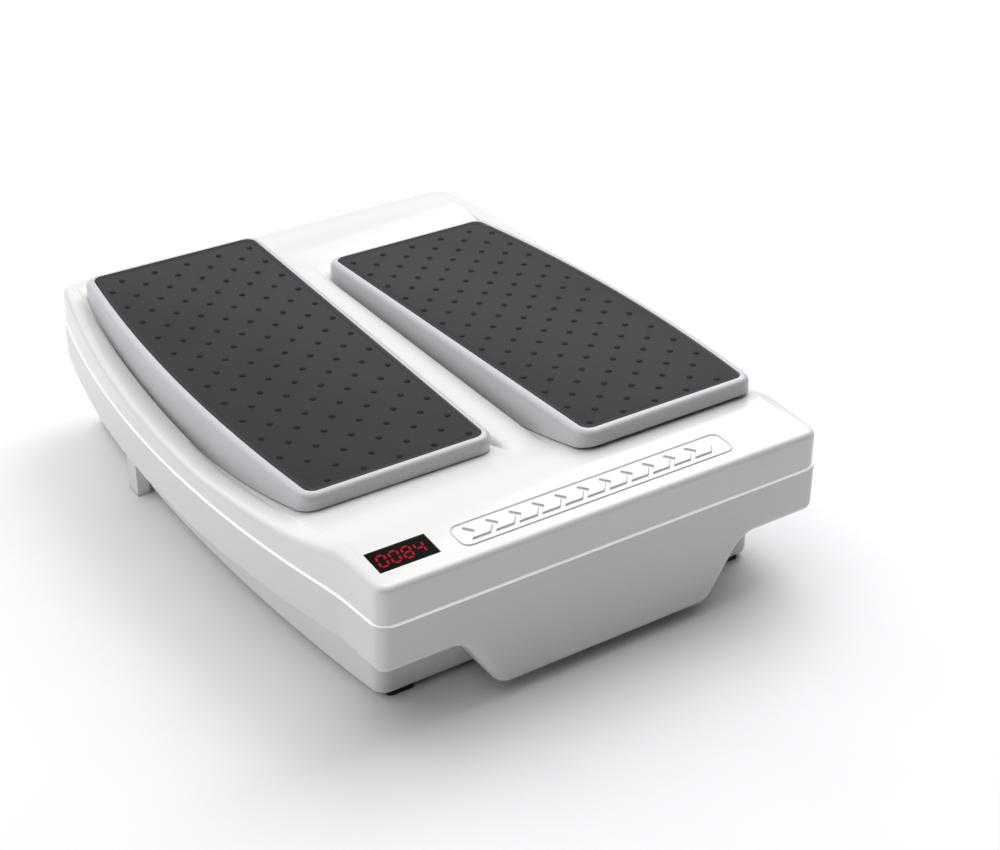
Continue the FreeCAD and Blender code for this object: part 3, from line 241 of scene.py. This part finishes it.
TRACK_SETTINGS = {
    "Scale": 90, "Mortar Size": 0.03, "Color1": (0.02, 0.17, 0.06, 1),
    "Color2": (0.015, 0.13, 0.05, 1), "Mortar": (0.05, 0.32, 0.12, 1),
}


def circuit(name):
    """Solder resist with lighter tracks laid in a brick pattern."""
    material = surface(name, (0.02, 0.16, 0.06), 0.35, grain=1500, coat=0.3)
    nodes, links = material.node_tree.nodes, material.node_tree.links
    shader = nodes["Principled BSDF"]
    tracks = nodes.new("ShaderNodeTexBrick")
    for socket, value in TRACK_SETTINGS.items():
        tracks.inputs[socket].default_value = value
    place = nodes.new("ShaderNodeTexCoord")
    links.new(place.outputs["Object"], tracks.inputs["Vector"])
    links.new(tracks.outputs["Color"], shader.inputs["Base Color"])
    return material


def paint_highlight_glow(material, strength):
    """A faint white glow, a painted highlight for an edge so thin that its own highlight would be
    lost.
    """
    shader = material.node_tree.nodes["Principled BSDF"]
    shader.inputs["Emission Color"].default_value = (1, 1, 1, 1)
    shader.inputs["Emission Strength"].default_value = strength


COVER = surface("cover_plastic", (0.74, 0.731, 0.722), 0.3, grain=2600, bump=0.03, vary=0.012,
                coat=0.25)
SHELL = surface("shell_plastic", (0.68, 0.67, 0.658), 0.36, grain=2600, bump=0.04, vary=0.015,
                coat=0.15)
# the seam lip is the shell's own plastic, painted lighter and given a faint white glow as a painted
# highlight along the seam
LIP_PAINTED_HIGHLIGHT = surface("lip_painted_highlight", (0.92, 0.92, 0.91), 0.25, grain=2600, bump=0.02, vary=0.01, coat=0.4)
paint_highlight_glow(LIP_PAINTED_HIGHLIGHT, 0.25)
PAN = surface("pan_plastic", (0.76, 0.75, 0.735), 0.55, grain=1800, bump=0.15, vary=0.02)
TRAY = surface("tray_plastic", (0.54, 0.55, 0.575), 0.34, grain=2200, bump=0.04, vary=0.02,
               coat=0.2)
RUBBER = surface("mat_rubber", (0.024, 0.025, 0.029), 0.66, grain=1400, bump=0.35, vary=0.10,
                 specular=0.25)
# the studs are painted darker than the mat: painted shade for their shaded sides
STUD_PAINTED_SHADE = surface("stud_painted_shade", (0.019, 0.0195, 0.0225), 0.7, grain=1400, bump=0.35,
                      specular=0.15)
PAD_RUBBER = surface("pad_rubber", (0.52, 0.52, 0.51), 0.6, grain=900, bump=0.3, vary=0.05)
BLACK_RUBBER = surface("foot_rubber", (0.012, 0.012, 0.013), 0.7, grain=900, bump=0.4, vary=0.15)
ZINC = surface("zinc_plate", (0.62, 0.63, 0.66), 0.34, grain=420, bump=0.1, vary=0.08, metallic=1)
SCREW = surface("screw_steel", (0.55, 0.55, 0.57), 0.3, grain=1600, bump=0.1, vary=0.08,
                metallic=1)
GROUND = surface("ground_steel", (0.66, 0.66, 0.68), 0.2, grain=260, bump=0.12, vary=0.05,
                 stretch=(0.1, 1, 1), metallic=1)
NYLON = surface("nylon", (0.80, 0.79, 0.72), 0.42, grain=1200, bump=0.06, vary=0.03)
BRONZE = surface("sintered_bronze", (0.50, 0.33, 0.16), 0.45, grain=2400, bump=0.3, vary=0.12,
                 metallic=1)
MOTOR = surface("motor_can", (0.40, 0.41, 0.43), 0.3, grain=500, bump=0.05, vary=0.05,
                stretch=(1, 0.08, 1), metallic=1)
CASTING = surface("cast_housing", (0.20, 0.205, 0.21), 0.6, grain=700, bump=0.5, vary=0.12,
                  metallic=0.6)
WINDOW = surface("smoked_window", (0.003, 0.001, 0.001), 0.25, grain=500, bump=0.01,
                 specular=0.02)
DIGIT_BLOCK = surface("digit_block", (0.02, 0.012, 0.012), 0.4, grain=900, bump=0.05, vary=0.1)
BOARD = circuit("circuit_board")
COMPONENT = surface("component_plastic", (0.03, 0.03, 0.033), 0.45, grain=1100, bump=0.1,
                    vary=0.2)
SWITCH = surface("switch_nylon", (0.014, 0.014, 0.015), 0.35, grain=1500, bump=0.1, vary=0.1)
DIGITS = glow("lit_segments", (0.40, 0.006, 0.012), 0.7)

NODE_MATERIALS = {
    "upper_cover": COVER, "lower_shell": SHELL, "front_apron": SHELL, "left_leg": SHELL,
    "right_leg": SHELL, "base_pan": PAN,
    "pivot_bush": BRONZE, "motor_can": MOTOR, "gearbox": CASTING, "motor_bracket": ZINC,
    "rocker_lever": ZINC, "pivot_post": GROUND, "sector_gear": GROUND, "output_pinion": GROUND,
    "display_window": WINDOW, "digit_module": DIGIT_BLOCK, "infrared_receiver": DIGIT_BLOCK,
    "display_board": BOARD, "control_board": BOARD, "board_components": COMPONENT,
    "switch_housing": SWITCH, "switch_key": SWITCH, "cord_gland": BLACK_RUBBER,
}
ENDING_MATERIALS = (
    ("_foot", BLACK_RUBBER), ("_leg_pad", PAD_RUBBER), ("_tray", TRAY), ("_mat", RUBBER),
    ("_carriage", ZINC), ("_screws", SCREW), ("_axle", GROUND), ("_roller", NYLON),
    ("_rail", ZINC), ("_drive_pin", GROUND),
)


def dress_nodes():
    """Gives each CAD node its material, by its name or by its name's ending."""
    for name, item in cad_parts.items():
        material = NODE_MATERIALS.get(name)
        for ending, shared in ENDING_MATERIALS:
            if material is None and name.endswith(ending):
                material = shared
        item.data.materials.clear()
        item.data.materials.append(material)


# ------------------------------------------------------------------ casing shapes

def side_arc_centre():
    """Centre of the right side's long arc, from the kink to the back corner."""
    start, end = Vector((KINK_HALF, KINK_Y)), Vector((BACK_HALF, BACK_Y))
    chord = end - start
    out = Vector((chord.y, -chord.x)).normalized()
    return (start + end) / 2 - out * math.sqrt(SIDE_RADIUS ** 2 - (chord.length / 2) ** 2)


SIDE_CENTRE = side_arc_centre()


def side_x(y):
    """Half the casing's width at y, before its corners are rounded."""
    arc = SIDE_CENTRE.x + math.sqrt(SIDE_RADIUS ** 2 - (y - SIDE_CENTRE.y) ** 2)
    line = FRONT_HALF + (KINK_HALF - FRONT_HALF) * (y - FRONT_Y) / (KINK_Y - FRONT_Y)
    return smooth_max(arc, line, KINK_BLEND) if y < 0 else arc


def corner_cut(y):
    """How much the rounded corners take from the half width at y."""
    return round_off(y - FRONT_Y, FRONT_CORNER) + round_off(BACK_Y - y, BACK_CORNER)


TINY = 1e-9  # keeps a division from meeting zero


def edge_depth(x, y):
    """Distance inside the casing's edge, and how much of that edge is its side (0 to 1)."""
    from_side = side_x(y) - abs(x)
    from_end, corner = min((y - FRONT_Y, FRONT_CORNER), (BACK_Y - y, BACK_CORNER))
    if from_side < corner and from_end < corner:
        across, along = corner - from_side, corner - from_end
        return corner - math.hypot(across, along), across / (across + along + TINY)
    return min(from_side, from_end), 1.0 if from_side < from_end else 0.0


def bulge(radius, run):
    """How far an arc falls away from its middle at a distance along it."""
    return radius - math.sqrt(radius ** 2 - run ** 2)


def channel_x(y):
    """Outer wall of the pads' channels."""
    reach = min(abs(y - SWING.y), CHANNEL_HALF_LENGTH)
    drop = bulge(CHANNEL_WALL_RADIUS, CHANNEL_HALF_LENGTH)
    return CHANNEL_END_HALF + drop - bulge(CHANNEL_WALL_RADIUS, reach)


def scoop_z(y):
    """The hollow arc under the pads."""
    return SWING.z - math.sqrt(CHANNEL_RADIUS ** 2 - (y - SWING.y) ** 2)


def spine_z(x):
    """The ridge between the pads, or the seam's level beside it."""
    if abs(x) > SPINE_HALF:
        return SEAM_Z
    return SPINE_TOP - round_off(SPINE_HALF - abs(x), SPINE_ROUND)


def strip_profile(points, y):
    """Height of one of the strip's profiles at y."""
    for start, end in zip(points, points[1:]):
        if y <= end[0] or end is points[-1]:
            return arc_height(start, end, end[2], y)


def strip_z(x, y):
    """Height of the strip along each side."""
    inner, outer = strip_profile(STRIP_IN, y), strip_profile(STRIP_OUT, y)
    return inner + (outer - inner) * (abs(x) - STRIP_IN_X) / (STRIP_OUT_X - STRIP_IN_X)


def block_z(y):
    """The front block, the back lip and the flat level between them."""
    slope = (BLOCK_TOP_Z - BLOCK_FRONT_Z) / (BLOCK_TOP_Y - BLOCK_FRONT_Y)
    front = BLOCK_FRONT_Z + slope * (y - BLOCK_FRONT_Y)
    fall = (BLOCK_TOP_Z - BLOCK_FRONT_Z) / (BLOCK_BACK_END - BLOCK_BACK_Y)
    back = BLOCK_TOP_Z - fall * (y - BLOCK_BACK_Y)
    return smooth_min(smooth_min(front, BLOCK_TOP_Z, BLOCK_BLEND), back, BLOCK_BLEND)


def cover_z(x, y):
    """Height of the cover's outer surface."""
    inside = smooth_max(scoop_z(y), spine_z(x), SPINE_BLEND)
    outside = strip_z(x, y)
    share = smooth_step((abs(x) - channel_x(y)) / WALL_SLOPE)
    top = smooth_min(block_z(y), inside + (outside - inside) * share, TOP_BLEND)
    depth, side_share = edge_depth(x, y)
    return top - round_off(max(depth, 0), END_ROUND + (SIDE_ROUND - END_ROUND) * side_share)


WINDOW_LEFT, WINDOW_RIGHT, WINDOW_FRONT, WINDOW_BACK = -145.0, -106.5, -202.2, -183.6
WINDOW_DEPTH, COVER_CREASE = 3, 50
SLOT_IN, SLOT_OUT, SLOT_FRONT, SLOT_BACK = 76.0, 104.0, -53.0, 79.0
# the cover's grid: where its columns and rows stand, in steps from the feature they follow
SPINE_INSIDE, SPINE_OUTSIDE = (0, 4), (0.15, 0.8, 2, 4, 8)
WALL_COLUMNS = (-0.66, 0, 0.5, 1.0, 1.5)
CHANNEL_COLUMNS = (30, 42, 54, 65, SLOT_IN, 90, SLOT_OUT, -WINDOW_RIGHT, 116, 126, 135)
SPINE_STEPS, STRIP_SPANS, SIDE_STEPS, CORNER_STEPS, ROW_SPANS = 5, 4, 8, 9, 150
WALL_HEIGHT = 0.5


def cover_columns(y):
    """x places across the right half at one y; each follows a feature of the cover."""
    wall, edge = channel_x(y), side_x(y)
    spine = [SPINE_HALF - step for step in reversed(round_steps(SPINE_ROUND, SPINE_STEPS))]
    columns = [*SPINE_INSIDE] + spine + [SPINE_HALF + step for step in SPINE_OUTSIDE]
    columns += [*CHANNEL_COLUMNS] + [wall + step for step in WALL_COLUMNS]
    start, end = columns[-1], edge - SIDE_ROUND
    columns += [start + (end - start) * k / STRIP_SPANS for k in range(1, STRIP_SPANS)]
    columns += [edge - step for step in reversed(round_steps(SIDE_ROUND, SIDE_STEPS))]
    fixed = -WINDOW_RIGHT
    squeeze = (edge - corner_cut(y) - fixed) / (edge - fixed)
    return [x if x <= fixed else fixed + (x - fixed) * squeeze for x in columns]


def cover_rows():
    """y places from front to back."""
    start, end = FRONT_Y + FRONT_CORNER, BACK_Y - BACK_CORNER
    rows = [FRONT_Y + step for step in round_steps(FRONT_CORNER, CORNER_STEPS)]
    rows += [start + (end - start) * k / ROW_SPANS for k in range(ROW_SPANS + 1)]
    rows += [BACK_Y - step for step in reversed(round_steps(BACK_CORNER, CORNER_STEPS))]
    for fixed in (WINDOW_FRONT, WINDOW_BACK, SLOT_FRONT, SLOT_BACK):
        nearest = min(range(len(rows)), key=lambda k: abs(rows[k] - fixed))
        rows[nearest] = fixed
    return rows


def in_window(x, y):
    """Whether a place is in the display window's opening."""
    return WINDOW_LEFT < x < WINDOW_RIGHT and WINDOW_FRONT < y < WINDOW_BACK


def in_slot(x, y):
    """Whether a place is in one of the two slots for the carriages' stems."""
    return SLOT_IN < abs(x) < SLOT_OUT and SLOT_FRONT < y < SLOT_BACK


def make_cover():
    """The top cover: one grid whose columns follow its features, with walls down to the seam."""
    points, grid = [], []
    for y in cover_rows():
        half = cover_columns(y)
        whole = [-x for x in reversed(half[1:])] + half
        grid.append(list(add_ring(points, [(x, y, cover_z(x, y)) for x in whole])))
    faces = []
    for quad in bridge_all(grid, closed=False):
        x, y = [sum(points[i][axis] for i in quad) / 4 for axis in (0, 1)]
        if not in_window(x, y) and not in_slot(x, y):
            faces.append(quad)
    right, left = [line[-1] for line in grid[1:]], [line[0] for line in grid[-2:0:-1]]
    rim = grid[0] + right + grid[-1][-2::-1] + left
    walls = [add_ring(points, [(points[i][0], points[i][1], level) for i in rim])
             for level in (SEAM_Z + WALL_HEIGHT, SEAM_Z)]
    faces += bridge(walls[0], rim) + bridge(walls[1], walls[0])
    faces += window_walls(points)
    cover = add_piece("cover_skin", points, faces, COVER)
    sharpen(cover, COVER_CREASE)
    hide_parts("upper_cover")


def casing_loop():
    """The cover's plan outline, anticlockwise from its front right corner, with outward normals."""
    right = [(side_x(y) - corner_cut(y), y) for y in cover_rows()]
    loop = [Vector(p) for p in right + [(-x, y) for x, y in reversed(right)]]
    outward = []
    for before, after in zip(loop[-1:] + loop[:-1], loop[1:] + loop[:1]):
        along = (after - before).normalized()
        outward.append(Vector((along.y, -along.x)))
    return loop, outward


def make_seam_lip():
    """The lower shell's rounded top edge, which stands a little proud of the cover all round; its
    lighter colour and faint glow are a painted highlight.
    """
    loop, outward = casing_loop()
    points, rings = [], []
    profile = [(LIP_RADIUS, -LIP_RADIUS)]
    profile += [(LIP_RADIUS * math.cos(t), LIP_RISE * math.sin(t)) for t in quarter_turn(LIP_STEPS)]
    for reach, rise in profile:
        off = reach + LIP_PROUD - LIP_RADIUS
        rings.append(add_ring(points, [(p.x + n.x * off, p.y + n.y * off, SEAM_Z + rise)
                                       for p, n in zip(loop, outward)]))
    lip = add_piece("seam_lip", points, bridge_all(rings), LIP_PAINTED_HIGHLIGHT)


def window_walls(points):
    """Short walls down from the window's opening."""
    corners = [(WINDOW_LEFT, WINDOW_FRONT), (WINDOW_RIGHT, WINDOW_FRONT),
               (WINDOW_RIGHT, WINDOW_BACK), (WINDOW_LEFT, WINDOW_BACK)]
    top, foot = [add_ring(points, [(x, y, block_z(y) - drop) for x, y in corners])
                 for drop in (0, WINDOW_DEPTH)]
    return bridge(foot, top)


def sharpen(piece, angle):
    """Keeps creases over an angle crisp on a smooth-shaded piece."""
    mesh = piece.data
    limit = math.radians(angle)
    sides = {}
    for face in mesh.polygons:
        for key in face.edge_keys:
            sides.setdefault(key, []).append(face.normal)
    for edge in mesh.edges:
        normals = sides.get(edge.key, [])
        edge.use_edge_sharp = len(normals) == 2 and normals[0].angle(normals[1], 0) > limit


# ------------------------------------------------------------------ front face and apron

APRON_LOW, APRON_HIGH = node_box("front_apron")
FACE_PROUD, FACE_ROUND, FACE_STEPS = 0.06, 7.0, 7
FACE_Y, FACE_TOP = APRON_LOW.y - FACE_PROUD, SEAM_Z - LIP_RADIUS
FACE_HALF = FRONT_HALF - FRONT_CORNER
SHELL_BASE = node_box("lower_shell")[0].z
APRON_FOOT_HALF, APRON_HEAD_HALF, APRON_BACK = 75.0, 100.0, APRON_HIGH.y
FOOT_BEND, HEAD_BEND, BEND_STEPS = 7, 12, 8
FOOT_COLUMNS, SIDE_COLUMNS = (0, 25, 50), (125, FACE_HALF)


def face_contour():
    """The front face's lower edge from its middle to the right: apron foot, slanted side, flat."""
    slant = Vector((APRON_HEAD_HALF - APRON_FOOT_HALF, SHELL_BASE - APRON_LOW.z)).normalized()
    foot, head = Vector((APRON_FOOT_HALF, APRON_LOW.z)), Vector((APRON_HEAD_HALF, SHELL_BASE))
    line = [Vector((x, APRON_LOW.z)) for x in FOOT_COLUMNS]
    line += bend(foot, Vector((-1, 0)), slant, FOOT_BEND)
    line += bend(head, -slant, Vector((1, 0)), HEAD_BEND)
    return line + [Vector((x, SHELL_BASE)) for x in SIDE_COLUMNS]


def bend(corner, towards_start, towards_end, reach):
    """A smooth curve round a corner, from reach before it to reach after it."""
    start, end = corner + towards_start * reach, corner + towards_end * reach
    return [start * (1 - t) ** 2 + corner * 2 * t * (1 - t) + end * t * t
            for t in [k / BEND_STEPS for k in range(BEND_STEPS + 1)]]


def make_front_face():
    """The front face of the lower shell and the apron as one surface with rounded lower edges."""
    half = face_contour()
    contour = [Vector((-p.x, p.y)) for p in reversed(half[1:])] + half
    inward = []
    for before, after in zip([contour[0]] + contour, contour[1:] + [contour[-1]]):
        along = (after - before).normalized() if (after - before).length else Vector((1, 0))
        inward.append(Vector((-along.y, along.x)))
    points = []
    rows = [add_ring(points, [(p.x, FACE_Y, FACE_TOP) for p in contour])]
    for turn in quarter_turn(FACE_STEPS):
        off, deep = FACE_ROUND * (1 - math.sin(turn)), FACE_ROUND * (1 - math.cos(turn))
        rows.append(add_ring(points, [(p.x + n.x * off, FACE_Y + deep, p.y + n.y * off)
                                      for p, n in zip(contour, inward)]))
    rows.append(add_ring(points, [(p.x, APRON_BACK, p.y) for p in contour]))
    faces = [quad for low, high in zip(rows, rows[1:]) for quad in bridge(high, low, closed=False)]
    face = add_piece("front_face_skin", points, faces, SHELL)
    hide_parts("front_apron")


# ------------------------------------------------------------------ foot mats

def tilted(point, side):
    """A pad's point turned to its rest place about the swing axis."""
    angle = math.radians(REST_TILT * -side)
    run, rise = point[1] - SWING.y, point[2] - SWING.z
    return (point[0], SWING.y + run * math.cos(angle) - rise * math.sin(angle),
            SWING.z + run * math.sin(angle) + rise * math.cos(angle))


def mat_outer(run):
    """Outer edge of a mat at a distance from its middle."""
    return MAT_OUTER_END + bulge(MAT_SIDE_RADIUS, MAT_HALF_LENGTH) - bulge(MAT_SIDE_RADIUS, run)


def mat_outline(inset):
    """The right mat's edge, anticlockwise, moved inwards by an inset."""
    corner, half = MAT_CORNER - inset / 2, MAT_HALF_LENGTH - inset
    inner, outer = MAT_INNER + inset, mat_outer(half) - inset
    turns = quarter_turn(MAT_CORNER_STEPS)
    early, late = [[corner * (1 - wave(t)) for t in turns] for wave in (math.cos, math.sin)]
    line = [(inner + x, -half + y) for x, y in zip(early, late)]
    line += [(outer - x, -half + y) for x, y in zip(late, early)]
    for k in range(1, MAT_SIDE_SPANS):
        run = -half + corner + 2 * (half - corner) * k / MAT_SIDE_SPANS
        line.append((mat_outer(run) - inset, run))
    line += [(outer - x, half - y) for x, y in zip(early, late)]
    line += [(inner + x, half - y) for x, y in zip(late, early)]
    return line


def stud(points, faces, x, y, base):
    """A low rounded stud."""
    turns = [2 * math.pi * k / STUD_SIDES for k in range(STUD_SIDES)]
    rings = []
    for share, rise in STUD_PROFILE:
        radius, level = STUD_RADIUS * share, base + STUD_HEIGHT * rise
        rings.append(add_ring(points, [(x + radius * math.cos(t), y + radius * math.sin(t), level)
                                       for t in turns]))
    top = add_ring(points, [(x, y, base + STUD_HEIGHT)])[0]
    faces += bridge_all(rings)
    last = rings[-1]
    faces += [(last[k], last[(k + 1) % STUD_SIDES], top) for k in range(STUD_SIDES)]


def make_mat(word, side):
    """A rubber mat: rounded border, a fine groove inside it, and studs in staggered rows, the studs
    painted darker as painted shade.
    """
    profile = [(MAT_FOOT_INSET, -MAT_THICK)]
    profile += [(MAT_EDGE * (1 - math.cos(t)), -MAT_EDGE * (1 - math.sin(t)))
                for t in quarter_turn(MAT_EDGE_STEPS)]
    points = []
    rings = [add_ring(points, [(x, y, PAD_TOP + rise) for x, y in mat_outline(inset)])
             for inset, rise in profile + [*GROOVE_PROFILE]]
    faces = bridge_all(rings) + [tuple(rings[-1]), tuple(reversed(rings[0]))]
    flat_faces = len(faces)
    for row in range(STUD_ROWS):
        y = STUD_FIRST_Y + STUD_ROW_PITCH * row
        stagger = STUD_COLUMN_PITCH / 2 if row % 2 else 0.0
        for column in range(STUD_COLUMNS):
            x = STUD_FIRST_X + STUD_COLUMN_PITCH * column + stagger
            if mat_outer(y) - x > STUD_EDGE_GAP:
                stud(points, faces, x, y, PAD_TOP)
    placed = [tilted((x * side, y + SWING.y, z), side) for x, y, z in points]
    if side < 0:
        faces = [tuple(reversed(face)) for face in faces]
    mat = add_piece(f"{word}_mat_skin", placed, faces, RUBBER, body=f"{word}_pad")
    # the studs take the darker material: painted shade
    mat.data.materials.append(STUD_PAINTED_SHADE)
    for face in list(mat.data.polygons)[flat_faces:]:
        face.material_index = 1
    sharpen(mat, MAT_CREASE)
    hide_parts(f"{word}_mat")


# ------------------------------------------------------------------ display digits and emblem

SEGMENTS = {"0": "abcdef", "4": "bcfg", "8": "abcdefg"}
# each segment's ends, in shares of a digit's width and height
SEGMENT_ENDS = {
    "a": ((0, 1), (1, 1)), "b": ((1, 1), (1, 0.5)), "c": ((1, 0.5), (1, 0)),
    "d": ((1, 0), (0, 0)), "e": ((0, 0), (0, 0.5)), "f": ((0, 0.5), (0, 1)),
    "g": ((0, 0.5), (1, 0.5)),
}
READING, DIGIT_MARGIN, DIGIT_PITCH = "0084", 4.0, 7.9
DIGIT_WIDE, DIGIT_TALL, DIGIT_LEAN = 5.0, 9.4, 0.14
SEGMENT_BAR, SEGMENT_GAP, SEGMENT_TIP = 1.4, 0.35, 0.5
SEGMENT_SUNK, SEGMENT_PROUD, PANE_THICK = -0.1, 0.08, 1.4


def segment_outline(key):
    """A segment's six corners, about the middle of its digit's left side."""
    start, end = [Vector((u * DIGIT_WIDE, (v - 0.5) * DIGIT_TALL)) for u, v in SEGMENT_ENDS[key]]
    along = (end - start).normalized()
    across = Vector((-along.y, along.x)) * SEGMENT_BAR / 2
    gap, tip = along * SEGMENT_BAR * SEGMENT_GAP, along * SEGMENT_BAR * SEGMENT_TIP
    start, end = start + gap, end - gap
    return [start, start + tip - across, end - tip - across, end, end - tip + across,
            start + tip + across]


def make_digits():
    """Four lit seven-segment digits that stand a little above the display window."""
    low, high = node_box("display_window")
    middle_y = (WINDOW_FRONT + WINDOW_BACK) / 2
    slope = (high.z - low.z - PANE_THICK) / (high.y - low.y)
    points, faces = [], []
    for index, digit in enumerate(READING):
        left = low.x + DIGIT_MARGIN + index * DIGIT_PITCH
        for key in SEGMENTS[digit]:
            outline = [(left + p.x + p.y * DIGIT_LEAN, middle_y + p.y) for p in segment_outline(key)]
            foot, top = [add_ring(points, [(x, y, high.z + rise + (y - high.y) * slope)
                                           for x, y in outline])
                         for rise in (SEGMENT_SUNK, SEGMENT_PROUD)]
            faces += bridge(foot, top) + [tuple(top), tuple(reversed(foot))]
    digits = add_piece("display_digits", points, faces, DIGITS, smooth=False)


EMBLEM_LEFT, EMBLEM_RIGHT, EMBLEM_FRONT, EMBLEM_BACK = -94.0, 97.0, -206.0, -186.0
EMBLEM_CORNER, EMBLEM_CREASE, CORNER_TURNS = 6, 35, 6
FRAME_PROFILE = ((0, -0.2), (0.15, 0.4), (0.5, 0.7), (0.95, 0.4), (1.1, -0.2))
BAR_PROUD, BAR_BEVEL = 1.1, 0.6
BAR_PROFILE = ((0, -0.2), (0, 0.2 * BAR_PROUD), (BAR_BEVEL * 0.35, 0.75 * BAR_PROUD),
               (BAR_BEVEL, BAR_PROUD))
BAR_COUNT, BAR_GAP, BAR_LEAN, BAR_HALF = 11, 3.2, 4.5, 5.5
BAR_LEFT, BAR_RIGHT = EMBLEM_LEFT + 8, EMBLEM_RIGHT - 12


def raised_bar(points, faces, outline):
    """A raised flat-topped bar with bevelled sides on the front block; its outline is (x, y)."""
    centre = Vector((sum(x for x, _ in outline), sum(y for _, y in outline))) / len(outline)
    rings = []
    for inset, rise in BAR_PROFILE:
        places = [Vector(p) + (centre - Vector(p)).normalized() * inset for p in outline]
        rings.append(add_ring(points, [(p.x, p.y, block_z(p.y) + rise) for p in places]))
    faces += bridge_all(rings) + [tuple(rings[-1])]


def rounded_box(left, right, front, back, corner):
    """A rectangle's outline with rounded corners, anticlockwise."""
    line = []
    for cx, cy, start in ((right - corner, front + corner, -90), (right - corner, back - corner, 0),
                          (left + corner, back - corner, 90), (left + corner, front + corner, 180)):
        for k in range(CORNER_TURNS + 1):
            turn = math.radians(start + 90 / CORNER_TURNS * k)
            line.append((cx + corner * math.cos(turn), cy + corner * math.sin(turn)))
    return line


def make_emblem():
    """A plain raised ornament on the front block: a rounded frame round a row of arrow bars."""
    points, rings = [], []
    for inset, rise in FRAME_PROFILE:
        ring = rounded_box(EMBLEM_LEFT + inset, EMBLEM_RIGHT - inset, EMBLEM_FRONT + inset,
                           EMBLEM_BACK - inset, EMBLEM_CORNER - inset)
        rings.append(add_ring(points, [(x, y, block_z(y) + rise) for x, y in ring]))
    faces = bridge_all(rings)
    middle = (EMBLEM_FRONT + EMBLEM_BACK) / 2
    front, back = middle - BAR_HALF, middle + BAR_HALF
    pitch = (BAR_RIGHT - BAR_LEFT) / BAR_COUNT
    for k in range(BAR_COUNT):
        left, right = BAR_LEFT + pitch * k, BAR_LEFT + pitch * k + (pitch - BAR_GAP)
        raised_bar(points, faces, [(left, front), (right, front), (right + BAR_LEAN, middle),
                                   (right, back), (left, back), (left + BAR_LEAN, middle)])
    emblem = add_piece("front_emblem", points, faces, COVER)
    sharpen(emblem, EMBLEM_CREASE)


# ------------------------------------------------------------------ camera, floor and light

YAW, PITCH, ROLL = math.radians(33.85), math.radians(30.54), math.radians(0.45)
EYE = Vector((-0.5680, -0.9462, 0.7010))
LENS, SENSOR = 70.128, 36.0

FLOOR_HALF, FLOOR_COLOUR, LIGHT_TARGET = 8.0, (0.87, 0.88, 0.905), Vector((0, 0, 0.05))
WORLD_COLOUR, WORLD_BRIGHTEST = (1.0, 0.995, 0.99, 1), Vector((-0.1, 0.54, 0.83))
WORLD_LEVELS = {"From Min": 0.25, "From Max": 1.0, "To Min": 0.0, "To Max": 1.75}
# each lamp's place, size and power
LAMPS = {"key": ((1.3, 0.5, 1.8), 1.8, 28.5), "left_fill": ((-2.2, -0.15, 0.3), 0.7, 6.5)}


def add_camera():
    """A camera at EYE, turned by YAW, tipped down by PITCH and leaning by ROLL."""
    level_look = math.cos(PITCH)
    look = Vector((math.sin(YAW) * level_look, math.cos(YAW) * level_look, -math.sin(PITCH)))
    level = Vector((math.cos(YAW), -math.sin(YAW), 0))
    up = level.cross(look)
    right = level * math.cos(ROLL) + up * math.sin(ROLL)
    top = up * math.cos(ROLL) - level * math.sin(ROLL)
    camera = bpy.data.objects.new("camera", bpy.data.cameras.new("camera"))
    camera.data.sensor_width = SENSOR
    camera.data.lens = LENS
    camera.matrix_world = Matrix.Translation(EYE) @ Matrix((right, top, -look)).transposed().to_4x4()
    bpy.context.scene.collection.objects.link(camera)
    bpy.context.scene.camera = camera


def add_lamp(name, place, size, power):
    """A white area light that faces the object."""
    light = bpy.data.objects.new(name, bpy.data.lights.new(name, "AREA"))
    light.data.size, light.data.energy = size, power
    light.location = place
    light.rotation_euler = (LIGHT_TARGET - light.location).to_track_quat("-Z", "Y").to_euler()
    bpy.context.scene.collection.objects.link(light)


def add_floor():
    """A plain pale floor, several metres across."""
    mesh = bpy.data.meshes.new("floor")
    corners = [(x * FLOOR_HALF, y * FLOOR_HALF, 0) for x, y in ((-1, -1), (1, -1), (1, 1), (-1, 1))]
    mesh.from_pydata(corners, [], [(0, 1, 2, 3)])
    mesh.materials.append(surface("floor_paper", FLOOR_COLOUR, 0.9, grain=300, bump=0.02,
                                  vary=0.01, specular=0.1))
    floor = bpy.data.objects.new("floor", mesh)
    bpy.context.scene.collection.objects.link(floor)


def add_studio():
    """White light from all round, brightest from above the back, and two soft lamps."""
    scene = bpy.context.scene
    scene.view_settings.view_transform = "Standard"
    scene.world = bpy.data.worlds.new("studio")
    scene.world.use_nodes = True
    nodes, links = scene.world.node_tree.nodes, scene.world.node_tree.links
    background = nodes["Background"]
    background.inputs["Color"].default_value = WORLD_COLOUR
    direction, towards, strength = [nodes.new(f"ShaderNode{kind}")
                                    for kind in ("TexCoord", "VectorMath", "MapRange")]
    towards.operation = "DOT_PRODUCT"
    towards.inputs[1].default_value = WORLD_BRIGHTEST.normalized()
    for socket, level in WORLD_LEVELS.items():
        strength.inputs[socket].default_value = level
    links.new(direction.outputs["Generated"], towards.inputs[0])
    links.new(towards.outputs["Value"], strength.inputs["Value"])
    links.new(strength.outputs["Result"], background.inputs["Strength"])
    for name, (place, size, power) in LAMPS.items():
        add_lamp(name, place, size, power)


dress_nodes()
make_cover()
make_seam_lip()
make_front_face()
make_mat("left", -1)
make_mat("right", 1)
make_digits()
make_emblem()
add_camera()
add_floor()
add_studio()
